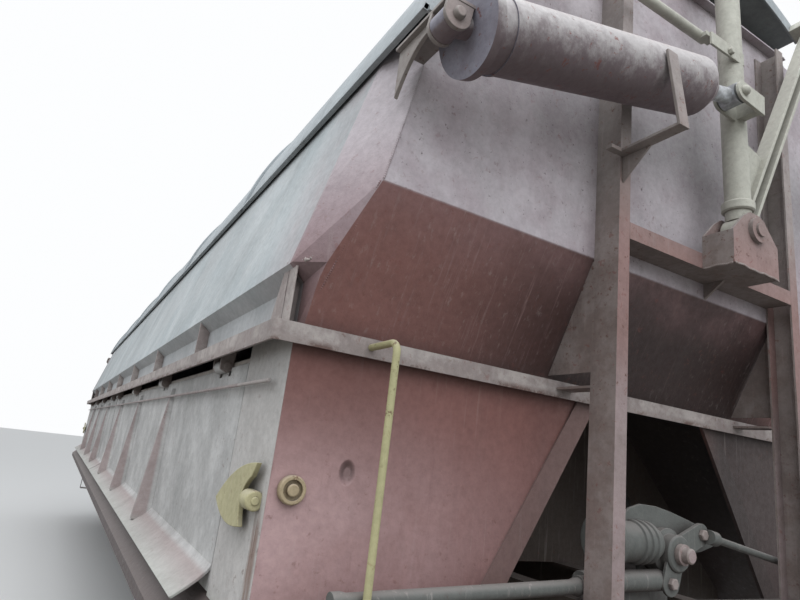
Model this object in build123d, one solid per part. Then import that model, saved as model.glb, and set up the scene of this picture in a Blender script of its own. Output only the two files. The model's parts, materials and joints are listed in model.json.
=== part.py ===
from build123d import *
import os
from math import radians, degrees, sin, cos, tan, hypot, atan2, sqrt

os.makedirs("parts", exist_ok=True)

# Four-axle saddle-bottom hopper wagon with a swinging arched roof, in millimetres.
# X runs along the wagon, +Y is to the right of someone who faces the +X end, Z is up from the rails.

# Overall
length_over_buffers = 12540
buffer_length = 620
bogie_spacing = 7500
bogie_wheelbase = 1800
end_face = 5150            # outer face of the waist frame at each end, from the middle

# Waist frame: an angle that runs round the body
waist_half_width = 1540
waist_bottom = 1900
waist_height = 55
waist_leg = 92
waist_wall = 8
waist_corner_radius = 22

# Sheets
sheet = 6
seam_height = 2130         # fold along the bottom of the leaning side sheet
seam_fold = 45
side_half_width = 1505     # side sheet at the seam
side_lean = 0.25
side_top = 2915
side_foot = 1456           # outside of the recessed band on the waist frame
corner_inset = 50          # bend line of the corner facet, back from the end face
wall_overhang = 146        # upright end wall, forward of the end face
crease_height = 2362
crease_half_width = 1355
incline_foot_inset = 54
wall_top = 3740
wall_arch_radius = 1330

# Saddle under the load, and its discharge lips
lip_half_width = 1568
lip_height = 1076
lip_drop = 45
saddle_slope = 45.0
apex_radius = 60

# Lower end panels with their raised border along the saddle cut
panel_inset = 40
panel_bottom = 1104
cut_apex = 2411
cut_slope = 0.614
border_width = 80
border_thickness = 8

# Corner strips beside the flaps
strip_half_width = 1467
strip_length = 400

# Flaps
flap_gap = 8
flap_hinge_y = 1480
flap_hinge_z = 1888
flap_foot_y = 1536
flap_foot_z = 1134
flap_sheet = 8
flap_rib_width = 60
flap_rib_depth = 45
flap_bays = 3
hinge_pin_radius = 12
hinge_knuckle_radius = 24
hinge_knuckle_length = 90
flap_top_drop = 34         # top edge of the flap's sheet below its hinge
pillar_half_length = 24

# End posts: rolled channels, open towards the middle
post_depth = 100
post_flange = 52
post_wall = 7
post_web_y = 539
post_top = 3655
ledge_bottom = 2422
ledge_height = 58

# Roof: an arched shell that turns about a pin low on each end wall
pivot_y = 40
pivot_z = 2575
roof_radius = 1407
roof_sheet = 4
roof_open_edge = 62.0      # degrees from the +Y side, leading edge
roof_far_edge = 168.5
roof_half_length = 5395
rim_inner_radius = 1366
rim_outer_radius = 1421
rim_thickness = 8
roof_opening = 45.0
quarter_gap = 18
quarter_radius = roof_radius - roof_sheet - quarter_gap
quarter_top_edge = 64.0

# Arm that carries the roof
arm_x = 5453
arm_pipe_radius = 44.5
arm_pipe_wall = 6
pivot_pin_radius = 25
pivot_hub_radius = 62
pivot_hub_half_width = 38
cheek = 12
bracket_half_width = 138
bracket_height = 123
collar_start = 88          # above the pin, clear of the bracket's cheeks
diagonal_angle = 62.0
diagonal_width = 62
diagonal_depth = 60
tie_height = 3290
tie_radius = 38

# Cylinder that opens the roof
cylinder_x = 5520
cylinder_radius = 101
cylinder_foot_y = -1338
cylinder_foot_z = 2724
cylinder_eye_y = -96
cylinder_eye_z = 3068
cylinder_length = 975
cylinder_start = 60        # end of the barrel, from its foot pin
cylinder_pin_radius = 18
cylinder_rod_radius = 28
eye_ear_gap = 38           # ears stand this far from the cylinder's middle plane

# Underframe
sill_top = 1250
sill_bottom = 960
sill_half_gap = 320
sill_flange = 90
sill_wall = 12
headstock_face = length_over_buffers / 2 - buffer_length
headstock_depth = 190
headstock_half_width = 1330
buffer_height = 1060
buffer_half_spacing = 875
floor_thickness = 10
headstock_drop = 60
bolster_half_width = 170
bolster_reach = 1180
bolster_rise = 140
bolster_plate = 30
pivot_boss_radius = 150
pivot_boss_height = 30
bearer_places = (-4400, -2500, -1250, 0, 1250, 2500, 4400)
bearer_half_thickness = 5
bearer_foot = 10
bearer_end_inset = 46
bearer_nose = 24
bearer_nose_drop = 38
bearer_margin = 180
bearer_outer_margin = 480

# Running gear
wheel_radius = 460         # tread
flange_height = 27
axle_height = wheel_radius + flange_height
tread_width = 135
back_to_back = 1360
axle_radius = 80
journal_radius = 60
journal_centre = 1000
bogie_end_reach = 570      # end beam, out from the wheelset
spring_seat = axle_height - 40
spring_top = 640


def outline(points):
    return make_face(Polyline([Vector(*p) for p in points], close=True))


def plate_yz(points, x_low, x_high):
    """A flat plate cut to (y, z) points, between two places along X."""
    face = make_face(Polyline([Vector(0, y, z) for y, z in points], close=True))
    solid = extrude(face, amount=x_high - x_low, dir=(1, 0, 0))
    return Pos(x_low, 0, 0) * solid


def plate_xz(points, y_low, y_high):
    """A flat plate cut to (x, z) points, between two places along Y."""
    face = make_face(Polyline([Vector(x, 0, z) for x, z in points], close=True))
    solid = extrude(face, amount=y_high - y_low, dir=(0, 1, 0))
    return Pos(0, y_low, 0) * solid


def plate_xy(points, z_low, z_high):
    """A flat plate cut to (x, y) points, between two heights."""
    face = make_face(Polyline([Vector(x, y, 0) for x, y in points], close=True))
    solid = extrude(face, amount=z_high - z_low, dir=(0, 0, 1))
    return Pos(0, 0, z_low) * solid


def block(x0, x1, y0, y1, z0, z1):
    return Pos((x0 + x1) / 2, (y0 + y1) / 2, (z0 + z1) / 2) * Box(abs(x1 - x0), abs(y1 - y0), abs(z1 - z0))


def rod(start, end, radius):
    """A round bar from one point to another."""
    a = Vector(*start)
    b = Vector(*end)
    plane = Plane(origin=a, z_dir=b - a)
    return extrude(plane * Circle(radius), amount=(b - a).length)


def tube(start, end, radius, wall):
    a = Vector(*start)
    b = Vector(*end)
    plane = Plane(origin=a, z_dir=b - a)
    ring = Circle(radius) - Circle(radius - wall)
    return extrude(plane * ring, amount=(b - a).length)


def thick(points, wall):
    """Closed outline of a folded sheet: the given line and the same line moved left by its wall."""
    moved = []
    last = len(points) - 1
    for i, (u, v) in enumerate(points):
        normals = []
        for a, b in ((i - 1, i), (i, i + 1)):
            if a >= 0 and b <= last:
                du = points[b][0] - points[a][0]
                dv = points[b][1] - points[a][1]
                size = hypot(du, dv)
                normals.append((-dv / size, du / size))
        nu = sum(n[0] for n in normals)
        nv = sum(n[1] for n in normals)
        scale = wall * len(normals) / (nu * nu + nv * nv)
        moved.append((u + nu * scale, v + nv * scale))
    return points + moved[::-1]


def mirrored_x(shape):
    return mirror(shape, about=Plane.YZ)


def mirrored_y(shape):
    return mirror(shape, about=Plane.XZ)


def four_corners(shape):
    front = [shape, mirrored_y(shape)]
    return front + [mirrored_x(s) for s in front]


def both_ends(shape):
    return [shape, mirrored_x(shape)]


def save(name, *shapes):
    solids = []
    for shape in shapes:
        solids.extend(shape.solids())
    export_step(solids[0] if len(solids) == 1 else Compound(children=solids), "parts/" + name + ".step")


def arc_strip(inner, outer, angle_low, angle_high, x_low, x_high):
    """Part of a ring about the roof pivot, in the YZ plane, stretched along X."""
    steps = []
    a = radians(angle_low)
    b = radians(angle_high)
    mid = (a + b) / 2

    def at(radius, angle):
        return Vector(0, pivot_y + radius * cos(angle), pivot_z + radius * sin(angle))

    edges = [
        ThreePointArc(at(outer, a), at(outer, mid), at(outer, b)),
        Line(at(outer, b), at(inner, b)),
        ThreePointArc(at(inner, b), at(inner, mid), at(inner, a)),
        Line(at(inner, a), at(outer, a)),
    ]
    face = make_face(edges)
    return Pos(x_low, 0, 0) * extrude(face, amount=x_high - x_low, dir=(1, 0, 0))


def side_at(height):
    """Outside of the leaning side sheet at a height."""
    return side_half_width - side_lean * (height - seam_height)


# Waist frame

def waist_frame():
    outer = RectangleRounded(2 * end_face, 2 * waist_half_width, waist_corner_radius)
    inside = Rectangle(2 * (end_face - waist_wall), 2 * (waist_half_width - waist_wall))
    opening = Rectangle(2 * (end_face - waist_leg), 2 * (waist_half_width - waist_leg))
    fascia = Pos(0, 0, waist_bottom) * extrude(outer - inside, amount=waist_height)
    leg = Pos(0, 0, waist_bottom + waist_height - waist_wall) * extrude(outer - opening, amount=waist_wall)
    return fascia + leg


frame_top = waist_bottom + waist_height
bend_x = end_face - corner_inset
side_end_x = bend_x - 22     # end of the flat side sheet
wall_face = end_face + wall_overhang
incline_foot_x = end_face - incline_foot_inset


# Upper body: side sheets, and end sheets that carry the corner facets

def side_sheet():
    """One side, +Y, as a folded sheet from the waist frame to its top edge."""
    line = [
        (side_foot, frame_top),
        (side_foot, seam_height - seam_fold),
        (side_half_width, seam_height),
        (side_at(side_top), side_top),
    ]
    return plate_yz(thick(line, sheet), -side_end_x, side_end_x)


# Outline of one end at rising heights: where the side sheet bends and where the end sheet's edge is.
end_levels = [
    dict(height=frame_top, side_x=5080, side_y=side_foot, end_x=5094, end_y=1441),
    dict(height=seam_height - seam_fold, side_x=5082, side_y=side_foot, end_x=5154, end_y=1440),
    dict(height=seam_height, side_x=bend_x, side_y=side_half_width, end_x=5177, end_y=1433),
    dict(height=crease_height, side_x=bend_x, side_y=side_at(crease_height), end_x=wall_face, end_y=crease_half_width),
    dict(height=2720, side_x=bend_x, side_y=side_at(2720), end_x=wall_face, end_y=1283),
    dict(height=side_top, side_x=bend_x, side_y=side_at(side_top), end_x=wall_face, end_y=1243),
]


def flat_face(points):
    return Face(Wire.make_polygon([Vector(*p) for p in points], close=True))


def end_solid(inset):
    """Solid body of one end, its outside pulled in by an inset: flat ends and sides, facets in triangles."""
    rings = []
    for level in end_levels:
        side_y = level["side_y"] - inset
        end_y = level["end_y"] - 0.5 * inset
        end_x = level["end_x"] - inset
        rings.append([
            (side_end_x - 30, -side_y, level["height"]), (level["side_x"], -side_y, level["height"]),
            (end_x, -end_y, level["height"]), (end_x, end_y, level["height"]),
            (level["side_x"], side_y, level["height"]), (side_end_x - 30, side_y, level["height"]),
        ])
    faces = [flat_face(rings[0]), flat_face(rings[-1])]
    for low, high in zip(rings, rings[1:]):
        for i, j in ((0, 1), (2, 3), (4, 5), (5, 0)):
            faces.append(flat_face([low[i], low[j], high[j], high[i]]))
        faces.append(flat_face([low[1], low[2], high[2]]))
        faces.append(flat_face([low[1], high[2], high[1]]))
        faces.append(flat_face([low[3], low[4], high[3]]))
        faces.append(flat_face([low[4], high[4], high[3]]))
    return Solid(Shell(faces))


def arch_wall(x_low, x_high, radius_left, radius_right, low, high):
    """Upright plate with an arched edge about the roof pivot and a flat top."""

    def on_arch(radius, height, side):
        return Vector(0, pivot_y + side * sqrt(radius ** 2 - (height - pivot_z) ** 2), height)

    middle = (low + high) / 2
    right = [on_arch(radius_right, z, 1) for z in (low, middle, high)]
    left = [on_arch(radius_left, z, -1) for z in (high, middle, low)]
    edges = [ThreePointArc(*right), Line(right[2], left[0]), ThreePointArc(*left), Line(left[2], right[0])]
    return Pos(x_low, 0, 0) * extrude(make_face(edges), amount=x_high - x_low, dir=(1, 0, 0))


def end_sheet():
    """Inclined sheet, upright wall with its arched top, and both corner facets, at the +X end."""
    shell = Part() + end_solid(0)
    shell = shell - end_solid(sheet)
    shell = shell - block(side_end_x - 60, side_end_x, -2000, 2000, frame_top - 10, side_top + 10)
    arch = arch_wall(wall_face - sheet, wall_face, wall_arch_radius, quarter_radius - sheet, side_top, wall_top)
    stiffener = arch_wall(wall_face, wall_face + 38, wall_arch_radius, wall_arch_radius, wall_top - 8, wall_top)
    return shell + arch + stiffener


def corner_post():
    """Small folded post below the seam at the body's corner."""
    x1 = side_end_x - 2
    return block(x1 - 40, x1, side_foot + 0.3, side_foot + 34, frame_top, seam_height - seam_fold - 4)


def side_gussets():
    """Small upright plates on the waist frame, under the seam."""
    result = []
    pitch = 1180
    for i in range(-4, 5):
        x = i * pitch
        if abs(x) > bend_x - 200:
            continue
        pts = [
            (side_foot + 0.3, frame_top),
            (waist_half_width - 14, frame_top),
            (waist_half_width - 46, seam_height - seam_fold + 16),
            (side_foot + 22, seam_height - seam_fold - 6),
            (side_foot + 0.3, seam_height - seam_fold - 8),
        ]
        right = plate_yz(pts, x - 4, x + 4)
        result += [right, mirrored_y(right)]
    return result


def top_rail():
    """Flange along the top of the +Y side that carries the fixed quarter."""
    edge = side_at(side_top) - sheet
    x1 = wall_face - sheet
    out = pivot_y + sqrt(quarter_radius ** 2 - (side_top + sheet - pivot_z) ** 2)
    chamfer = end_levels[-1]["end_y"] - sheet
    pts = [(-bend_x, edge), (bend_x, edge), (x1, chamfer), (x1, out), (-x1, out), (-x1, chamfer)]
    return plate_xy(pts, side_top, side_top + sheet)


def fixed_quarter():
    """Fixed arched sheet on the +Y side that the open roof slides over."""
    rise = side_top + sheet - pivot_z
    start = degrees(atan2(rise, sqrt(quarter_radius ** 2 - rise ** 2)))
    x1 = wall_face - sheet
    return arc_strip(quarter_radius - sheet, quarter_radius, start, quarter_top_edge, -x1, x1)


# Saddle and lips

def saddle_z(y):
    return lip_height + (lip_half_width - y) * tan(radians(saddle_slope))


def saddle():
    apex = saddle_z(0)
    line = [
        (-lip_half_width, lip_height - lip_drop),
        (-lip_half_width, lip_height),
        (0, apex),
        (lip_half_width, lip_height),
        (lip_half_width, lip_height - lip_drop),
    ]
    half = end_face - panel_inset - sheet
    full = plate_yz(thick(line, -sheet), -wall_face, wall_face)
    inside = end_solid(sheet + 0.5)
    low = block(-half, half, -2000, 2000, lip_height - 200, frame_top)
    middle = block(-side_end_x + 1, side_end_x - 1, -2000, 2000, frame_top - 1, apex + 50)
    slot = block(end_face - waist_leg - 1, wall_face, -2000, 2000, frame_top - waist_wall - 1, frame_top + 1)
    kept = full & (Part() + low + middle + inside + mirrored_x(inside))
    return kept - slot - mirrored_x(slot)


def end_panel():
    """Lower end panel on one side (+Y), with the raised border along its sloping edge."""
    x = end_face - panel_inset
    top = frame_top - waist_wall
    pts = [
        (cut_slope * (cut_apex - top), top),
        (strip_half_width, top),
        (strip_half_width, panel_bottom),
        (cut_slope * (cut_apex - panel_bottom), panel_bottom),
    ]
    panel = plate_yz(pts, x - sheet, x)
    wide = border_width * hypot(1, cut_slope)
    pts = [
        (cut_slope * (cut_apex - top), top),
        (cut_slope * (cut_apex - top) + wide, top),
        (cut_slope * (cut_apex - panel_bottom) + wide, panel_bottom),
        (cut_slope * (cut_apex - panel_bottom), panel_bottom),
    ]
    border = plate_yz(pts, x, x + border_thickness)
    return panel + border


def corner_strip():
    x1 = end_face - panel_inset - sheet
    x0 = end_face - panel_inset - strip_length
    foot = saddle_z(strip_half_width - sheet) + 1
    return block(x0, x1, strip_half_width - sheet, strip_half_width, foot, frame_top - waist_wall)


def centre_pillar():
    y0 = strip_half_width - 40
    y1 = strip_half_width - 4
    return block(-pillar_half_length, pillar_half_length, y0, y1, saddle_z(y0) + 1, frame_top - waist_wall)


# Flaps

flap_length = end_face - panel_inset - strip_length - flap_gap - (pillar_half_length + flap_gap)
flap_start = pillar_half_length + flap_gap


def flap():
    """The +X, +Y flap: a ribbed sheet hung from knuckles, leaning out to its foot."""
    lean = atan2(flap_foot_y - flap_hinge_y, flap_hinge_z - flap_foot_z)
    top_y = flap_hinge_y
    top_z = flap_hinge_z - flap_top_drop
    sheet_line = [(top_y, top_z), (flap_foot_y, flap_foot_z)]
    x0 = flap_start
    x1 = flap_start + flap_length
    body = plate_yz(thick(sheet_line, -flap_sheet), x0, x1)
    bay = (flap_length - flap_rib_width) / flap_bays
    for i in range(flap_bays + 1):
        xc = x0 + flap_rib_width / 2 + i * bay
        out = flap_rib_depth
        top = Vector(xc, top_y, top_z - 6)
        foot = Vector(xc, flap_foot_y, flap_foot_z)
        along = (foot - top).normalized()
        out_dir = Vector(0, cos(lean), sin(lean))
        section = [Vector(-flap_rib_width / 2, 0, 0), Vector(flap_rib_width / 2, 0, 0), Vector(6, out, 0), Vector(-6, out, 0)]
        plane = Plane(origin=top, x_dir=Vector(1, 0, 0), z_dir=along)
        sign = 1 if plane.y_dir.Y > 0 else -1
        face = make_face(Polyline([Vector(v.X, sign * (v.Y - 1), 0) for v in section], close=True))
        rib = extrude(plane * face, amount=(foot - top).length)
        body = body + rib
    foot_bar = [
        (flap_foot_y - 4, flap_foot_z + 1),
        (flap_foot_y + 40, flap_foot_z + 4),
        (flap_foot_y + 34, flap_foot_z + 40),
        (flap_foot_y - 7, flap_foot_z + 36),
    ]
    body = body + plate_yz(foot_bar, x0, x1)
    for xc in knuckle_places():
        eye = rod((xc - hinge_knuckle_length / 2, flap_hinge_y, flap_hinge_z),
                  (xc + hinge_knuckle_length / 2, flap_hinge_y, flap_hinge_z), hinge_knuckle_radius)
        bore = rod((xc - hinge_knuckle_length, flap_hinge_y, flap_hinge_z),
                   (xc + hinge_knuckle_length, flap_hinge_y, flap_hinge_z), hinge_pin_radius + 0.05)
        strap = block(xc - hinge_knuckle_length / 2, xc + hinge_knuckle_length / 2, flap_hinge_y - flap_sheet,
                      flap_hinge_y, top_z - 2, flap_hinge_z - 4)
        body = (body + eye + strap) - bore
    return body


def knuckle_places():
    count = 4
    step = (flap_length - 600) / (count - 1)
    return [flap_start + 300 + i * step for i in range(count)]


def hinge_lugs():
    """Ears and pin under the waist frame for one flap, +X and +Y."""
    result = []
    for xc in knuckle_places():
        for side in (-1, 1):
            x0 = xc + side * (hinge_knuckle_length / 2 + 1)
            x1 = x0 + side * 14
            pts = [
                (flap_hinge_y - 26, frame_top - waist_wall),
                (flap_hinge_y + 26, frame_top - waist_wall),
                (flap_hinge_y + 22, flap_hinge_z - 14),
                (flap_hinge_y, flap_hinge_z - 24),
                (flap_hinge_y - 22, flap_hinge_z - 14),
            ]
            result.append(plate_yz(pts, min(x0, x1), max(x0, x1)))
        pin = rod((xc - hinge_knuckle_length / 2 - 22, flap_hinge_y, flap_hinge_z),
                  (xc + hinge_knuckle_length / 2 + 22, flap_hinge_y, flap_hinge_z), hinge_pin_radius)
        joined = result[-2] + result[-1] + pin
        result = result[:-2] + [joined]
    return result


# End posts, their webs and the ledge between them

def end_post():
    """The +X, +Y post: web outside, flanges towards the middle."""
    x0 = wall_face
    x1 = wall_face + post_depth
    y1 = post_web_y
    y0 = post_web_y - post_flange
    web = block(x0, x1, y1 - post_wall, y1, sill_top + floor_thickness, post_top)
    back = block(x0, x0 + post_wall, y0, y1, sill_top + floor_thickness, post_top)
    front = block(x1 - post_wall, x1, y0, y1, sill_top + floor_thickness, post_top)
    return web + back + front


def incline_x(height):
    share = (height - frame_top) / (crease_height - frame_top)
    return incline_foot_x + share * (wall_face - incline_foot_x)


def post_web():
    """Upright web between a post and the inclined end sheet, with the tab to the waist frame below."""
    pts = [
        (incline_x(frame_top + 20) + 1, frame_top + 20),
        (wall_face, frame_top + 20),
        (wall_face, crease_height - 12),
        (incline_x(crease_height - 12) + 1, crease_height - 12),
    ]
    web = plate_xz(pts, post_web_y - 8, post_web_y)
    tab = block(end_face, wall_face, post_web_y - 70, post_web_y, frame_top - 30, frame_top - 22)
    return web, tab


def ledge():
    y = post_web_y - post_flange - 1
    x0 = wall_face
    x1 = wall_face + post_depth
    front = block(x1 - 8, x1, -y, y, ledge_bottom, ledge_bottom + ledge_height)
    shelf = block(x0, x1, -y, y, ledge_bottom, ledge_bottom + 8)
    brace = plate_xz([(wall_face, ledge_bottom), (wall_face + post_depth - 20, ledge_bottom), (wall_face, ledge_bottom - 60)],
                     60, 72)
    return front + shelf + brace


def pivot_bracket():
    """Box on the ledge that holds the roof pin."""
    x0 = wall_face + post_depth
    x1 = x0 + 116
    z0 = ledge_bottom
    z1 = ledge_bottom + bracket_height
    yl = pivot_y - bracket_half_width
    yr = pivot_y + bracket_half_width
    cheek_outline = [
        (yl, z0), (yr, z0), (yr, z1), (pivot_y + 70, pivot_z + 40), (pivot_y + 30, pivot_z + 66),
        (pivot_y - 30, pivot_z + 66), (pivot_y - 70, pivot_z + 40), (yl, z1),
    ]
    rear = plate_yz(cheek_outline, x0, x0 + cheek - 3)
    front = plate_yz(cheek_outline, x1 - cheek, x1)
    left = block(x0, x1, yl, yl + 10, z0, z1)
    right = block(x0, x1, yr - 10, yr, z0, z1)
    floor = block(x0, x1, yl, yr, z0, z0 + 10)
    pin = rod((x0, pivot_y, pivot_z), (x1 + 24, pivot_y, pivot_z), pivot_pin_radius)
    head = rod((x1, pivot_y, pivot_z), (x1 + 16, pivot_y, pivot_z), pivot_pin_radius + 22)
    return rear + front + left + right + floor + pin + head


# Roof and its arms

def roof_shell():
    shell = arc_strip(roof_radius - roof_sheet, roof_radius, roof_open_edge, roof_far_edge,
                      -roof_half_length, roof_half_length)
    rim = arc_strip(rim_inner_radius, rim_outer_radius, roof_open_edge, roof_far_edge,
                    roof_half_length - rim_thickness, roof_half_length)
    shell = shell + rim + mirrored_x(rim)
    return shell


def polar(radius, angle):
    return (pivot_y + radius * cos(radians(angle)), pivot_z + radius * sin(radians(angle)))


def roof_arm():
    """Arm at the +X end: hub, upright pipe, diagonal channel and tie up to the roof's rim."""
    reach = rim_inner_radius + 20
    hub = rod((arm_x - pivot_hub_half_width, pivot_y, pivot_z), (arm_x + pivot_hub_half_width, pivot_y, pivot_z),
              pivot_hub_radius)
    bore = rod((arm_x - 80, pivot_y, pivot_z), (arm_x + 80, pivot_y, pivot_z), pivot_pin_radius + 0.05)
    top_y, top_z = polar(reach, 91.5)
    foot_y, foot_z = polar(50, 91.5)
    pipe = rod((arm_x, foot_y, foot_z), (arm_x, top_y, top_z), arm_pipe_radius)
    c0_y, c0_z = polar(collar_start, 91.5)
    c1_y, c1_z = polar(collar_start + 40, 91.5)
    collar = rod((arm_x, c0_y, c0_z), (arm_x, c1_y, c1_z), arm_pipe_radius + 12)
    u = (cos(radians(diagonal_angle)), sin(radians(diagonal_angle)))
    n = (u[1], -u[0])

    def along(distance, offset):
        return (pivot_y + u[0] * distance + n[0] * offset, pivot_z + u[1] * distance + n[1] * offset)

    half = diagonal_width / 2
    outline_pts = [along(40, half), along(reach, half), along(reach, -half), along(40, -half)]
    x0 = arm_x - diagonal_depth / 2
    x1 = arm_x + diagonal_depth / 2
    diagonal = plate_yz(outline_pts, x0, x1)
    groove = plate_yz([along(150, half - 14), along(reach - 60, half - 14), along(reach - 60, -half + 14),
                       along(150, -half + 14)], x1 - 40, x1 + 1)
    diagonal = diagonal - groove
    gusset = plate_yz([polar(60, 91.5), polar(420, 91.5), along(420, 0), along(60, 0)], arm_x - 6, arm_x + 6)
    tie_y = pivot_y - sqrt((rim_inner_radius + 10) ** 2 - (tie_height - pivot_z) ** 2)
    tie = rod((arm_x, tie_y, tie_height), (arm_x, pivot_y - 60, tie_height), tie_radius)
    arm = hub + pipe + collar + diagonal + gusset + tie
    tie_angle = degrees(atan2(tie_height - pivot_z, tie_y - pivot_y))
    for middle, spread in ((91.5, 2.6), (roof_open_edge + 1.6, 1.6), (tie_angle, 1.8)):
        arm = arm + arc_strip(rim_inner_radius - 4, rim_outer_radius - 10, middle - spread, middle + spread,
                              roof_half_length, arm_x + 12)
    return arm - bore


def lug_on_pipe():
    """Ears on the arm that take the cylinder's eye."""
    y1 = pivot_y
    pts = [
        (cylinder_eye_y - 34, cylinder_eye_z - 10), (cylinder_eye_y - 20, cylinder_eye_z - 32),
        (y1, cylinder_eye_z - 60), (y1, cylinder_eye_z + 60), (cylinder_eye_y - 20, cylinder_eye_z + 32),
    ]
    ears = []
    for x in (cylinder_x - eye_ear_gap - 12, cylinder_x + eye_ear_gap):
        ears.append(plate_yz(pts, x, x + 12))
    x1 = cylinder_x + eye_ear_gap + 12
    head = rod((x1, cylinder_eye_y, cylinder_eye_z), (x1 + 16, cylinder_eye_y, cylinder_eye_z), cylinder_pin_radius)
    back = block(arm_x, x1, pivot_y - 44, pivot_y - 4, cylinder_eye_z - 55, cylinder_eye_z + 55)
    return ears[0] + ears[1] + head + back


# Cylinder

cylinder_angle = atan2(cylinder_eye_z - cylinder_foot_z, cylinder_eye_y - cylinder_foot_y)
cylinder_reach = hypot(cylinder_eye_z - cylinder_foot_z, cylinder_eye_y - cylinder_foot_y)


def on_cylinder(distance):
    return (cylinder_x, cylinder_foot_y + distance * cos(cylinder_angle), cylinder_foot_z + distance * sin(cylinder_angle))


def cylinder_barrel():
    start = cylinder_start
    stop = start + cylinder_length
    outer = rod(on_cylinder(start), on_cylinder(stop), cylinder_radius)
    cap = rod(on_cylinder(start - 2), on_cylinder(start + 26), cylinder_radius + 26)
    ring = rod(on_cylinder(start + 86), on_cylinder(start + 98), cylinder_radius + 4)
    axis_plane = Plane(origin=Vector(*on_cylinder(stop)), z_dir=(0, cos(cylinder_angle), sin(cylinder_angle)))
    head = loft([(axis_plane * Circle(cylinder_radius)).face(), (axis_plane.offset(90) * Circle(50)).face()])
    eye = rod((cylinder_x - 30, cylinder_foot_y, cylinder_foot_z), (cylinder_x + 30, cylinder_foot_y, cylinder_foot_z), 38)
    neck = rod(on_cylinder(10), on_cylinder(start + 4), 30)
    bore = rod((cylinder_x - 60, cylinder_foot_y, cylinder_foot_z), (cylinder_x + 60, cylinder_foot_y, cylinder_foot_z),
               cylinder_pin_radius + 0.05)
    inner = rod(on_cylinder(start + 60), on_cylinder(stop + 120), cylinder_rod_radius + 0.5)
    return (outer + cap + ring + head + eye + neck) - bore - inner


def cylinder_rod():
    eye_plane = rod((cylinder_x - 32, cylinder_eye_y, cylinder_eye_z), (cylinder_x + 32, cylinder_eye_y, cylinder_eye_z), 40)
    shaft = rod(on_cylinder(480), on_cylinder(cylinder_reach - 20), cylinder_rod_radius)
    return eye_plane + shaft


def cylinder_bracket():
    """Ears on the body's corner that take the foot of the cylinder."""
    pts = [
        (cylinder_foot_y - 54, cylinder_foot_z - 130), (cylinder_foot_y + 60, cylinder_foot_z - 160),
        (cylinder_foot_y + 26, cylinder_foot_z + 10), (cylinder_foot_y + 6, cylinder_foot_z + 30),
        (cylinder_foot_y - 24, cylinder_foot_z + 20),
    ]
    pts_ear = [(y, z) for y, z in pts]
    rear = plate_yz(pts_ear, cylinder_x - 44, cylinder_x - 32)
    front = plate_yz(pts_ear, cylinder_x + 32, cylinder_x + 44)
    base = block(wall_face, cylinder_x + 44, cylinder_foot_y - 30, cylinder_foot_y + 50, cylinder_foot_z - 156,
                 cylinder_foot_z - 142)
    stem = block(wall_face, cylinder_x - 32, cylinder_foot_y - 30, cylinder_foot_y + 50, cylinder_foot_z - 142,
                 cylinder_foot_z - 118)
    base = base + stem
    pin = rod((cylinder_x - 50, cylinder_foot_y, cylinder_foot_z), (cylinder_x + 52, cylinder_foot_y, cylinder_foot_z),
              cylinder_pin_radius)
    return rear + front + base + pin


def cylinder_hook():
    """Flat bar hook from the post, under and in front of the cylinder."""
    x0 = wall_face + post_depth
    line = [(x0, 2690), (x0 + 250, 2690), (x0 + 262, 2702), (x0 + 262, 2960)]
    bar = plate_xz(thick(line, 10), -570, -520)
    gusset = plate_xz([(x0, 2600), (x0, 2690), (x0 + 110, 2690)], -550, -540)
    return bar + gusset


# Underframe

def sill(side):
    """One main sill: a channel with its flanges turned to the middle."""
    half = headstock_face - headstock_depth
    outer = side * sill_half_gap
    web = block(-half, half, outer - side * sill_wall, outer, sill_bottom, sill_top)
    inner = side * (sill_half_gap - sill_flange)
    top = block(-half, half, inner, outer, sill_top - sill_wall, sill_top)
    bottom = block(-half, half, inner, outer, sill_bottom, sill_bottom + sill_wall)
    return web + top + bottom


def headstock():
    return block(headstock_face - headstock_depth, headstock_face, -headstock_half_width, headstock_half_width,
                 sill_bottom - headstock_drop, sill_top)


def bolster():
    """Box across the wagon that sits on the bogie's pivot and takes the two sills in its notches."""
    x = bogie_spacing / 2
    bottom = sill_bottom - bolster_plate
    beam = block(x - bolster_half_width, x + bolster_half_width, -bolster_reach, bolster_reach, bottom, sill_bottom + bolster_rise)
    for side in (-1, 1):
        outer = side * sill_half_gap
        inner = side * (sill_half_gap - sill_flange)
        beam = beam - block(0, 2 * x, inner, outer, sill_bottom, sill_top)
    return beam + Pos(x, 0, bottom - pivot_boss_height / 2) * Cylinder(pivot_boss_radius, pivot_boss_height)


def cross_bearer(x):
    """Plate under the saddle from lip to lip, notched for the sills and lightened on both sides."""
    under = sheet / cos(radians(saddle_slope))
    end = lip_half_width - bearer_end_inset
    low = sill_bottom + bearer_foot
    half = [
        (sill_half_gap, sill_top),
        (sill_half_gap, low),
        (end - bearer_nose, lip_height - bearer_nose_drop),
        (end, lip_height - bearer_nose_drop + bearer_nose),
        (end, saddle_z(end) - under),
    ]
    points = half + [(0, saddle_z(0) - under)] + [(-y, z) for y, z in reversed(half)]
    plate = plate_yz(points, x - bearer_half_thickness, x + bearer_half_thickness)
    inner = sill_half_gap + bearer_margin
    outer = lip_half_width - bearer_outer_margin
    base = low + bearer_margin
    opening = plate_yz([(inner, base), (outer, base), (inner, saddle_z(inner) - bearer_margin * 1.3)],
                       x - 2 * bearer_half_thickness, x + 2 * bearer_half_thickness)
    return plate - opening - mirrored_y(opening)


def platform():
    y = headstock_half_width + 10
    x0 = end_face - 30
    x1 = headstock_face
    return block(x0, x1, -y, y, sill_top, sill_top + floor_thickness)


def handrail():
    x0 = end_face
    x1 = end_face + 150
    y = 1252
    r = 10
    top = waist_bottom + 30
    path = FilletPolyline((x0, y, top), (x1, y, top), (x1, y, sill_top + floor_thickness), radius=30)
    plane = Plane(origin=(x0, y, top), z_dir=(1, 0, 0))
    return sweep(plane * Circle(r), path=path)


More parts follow.
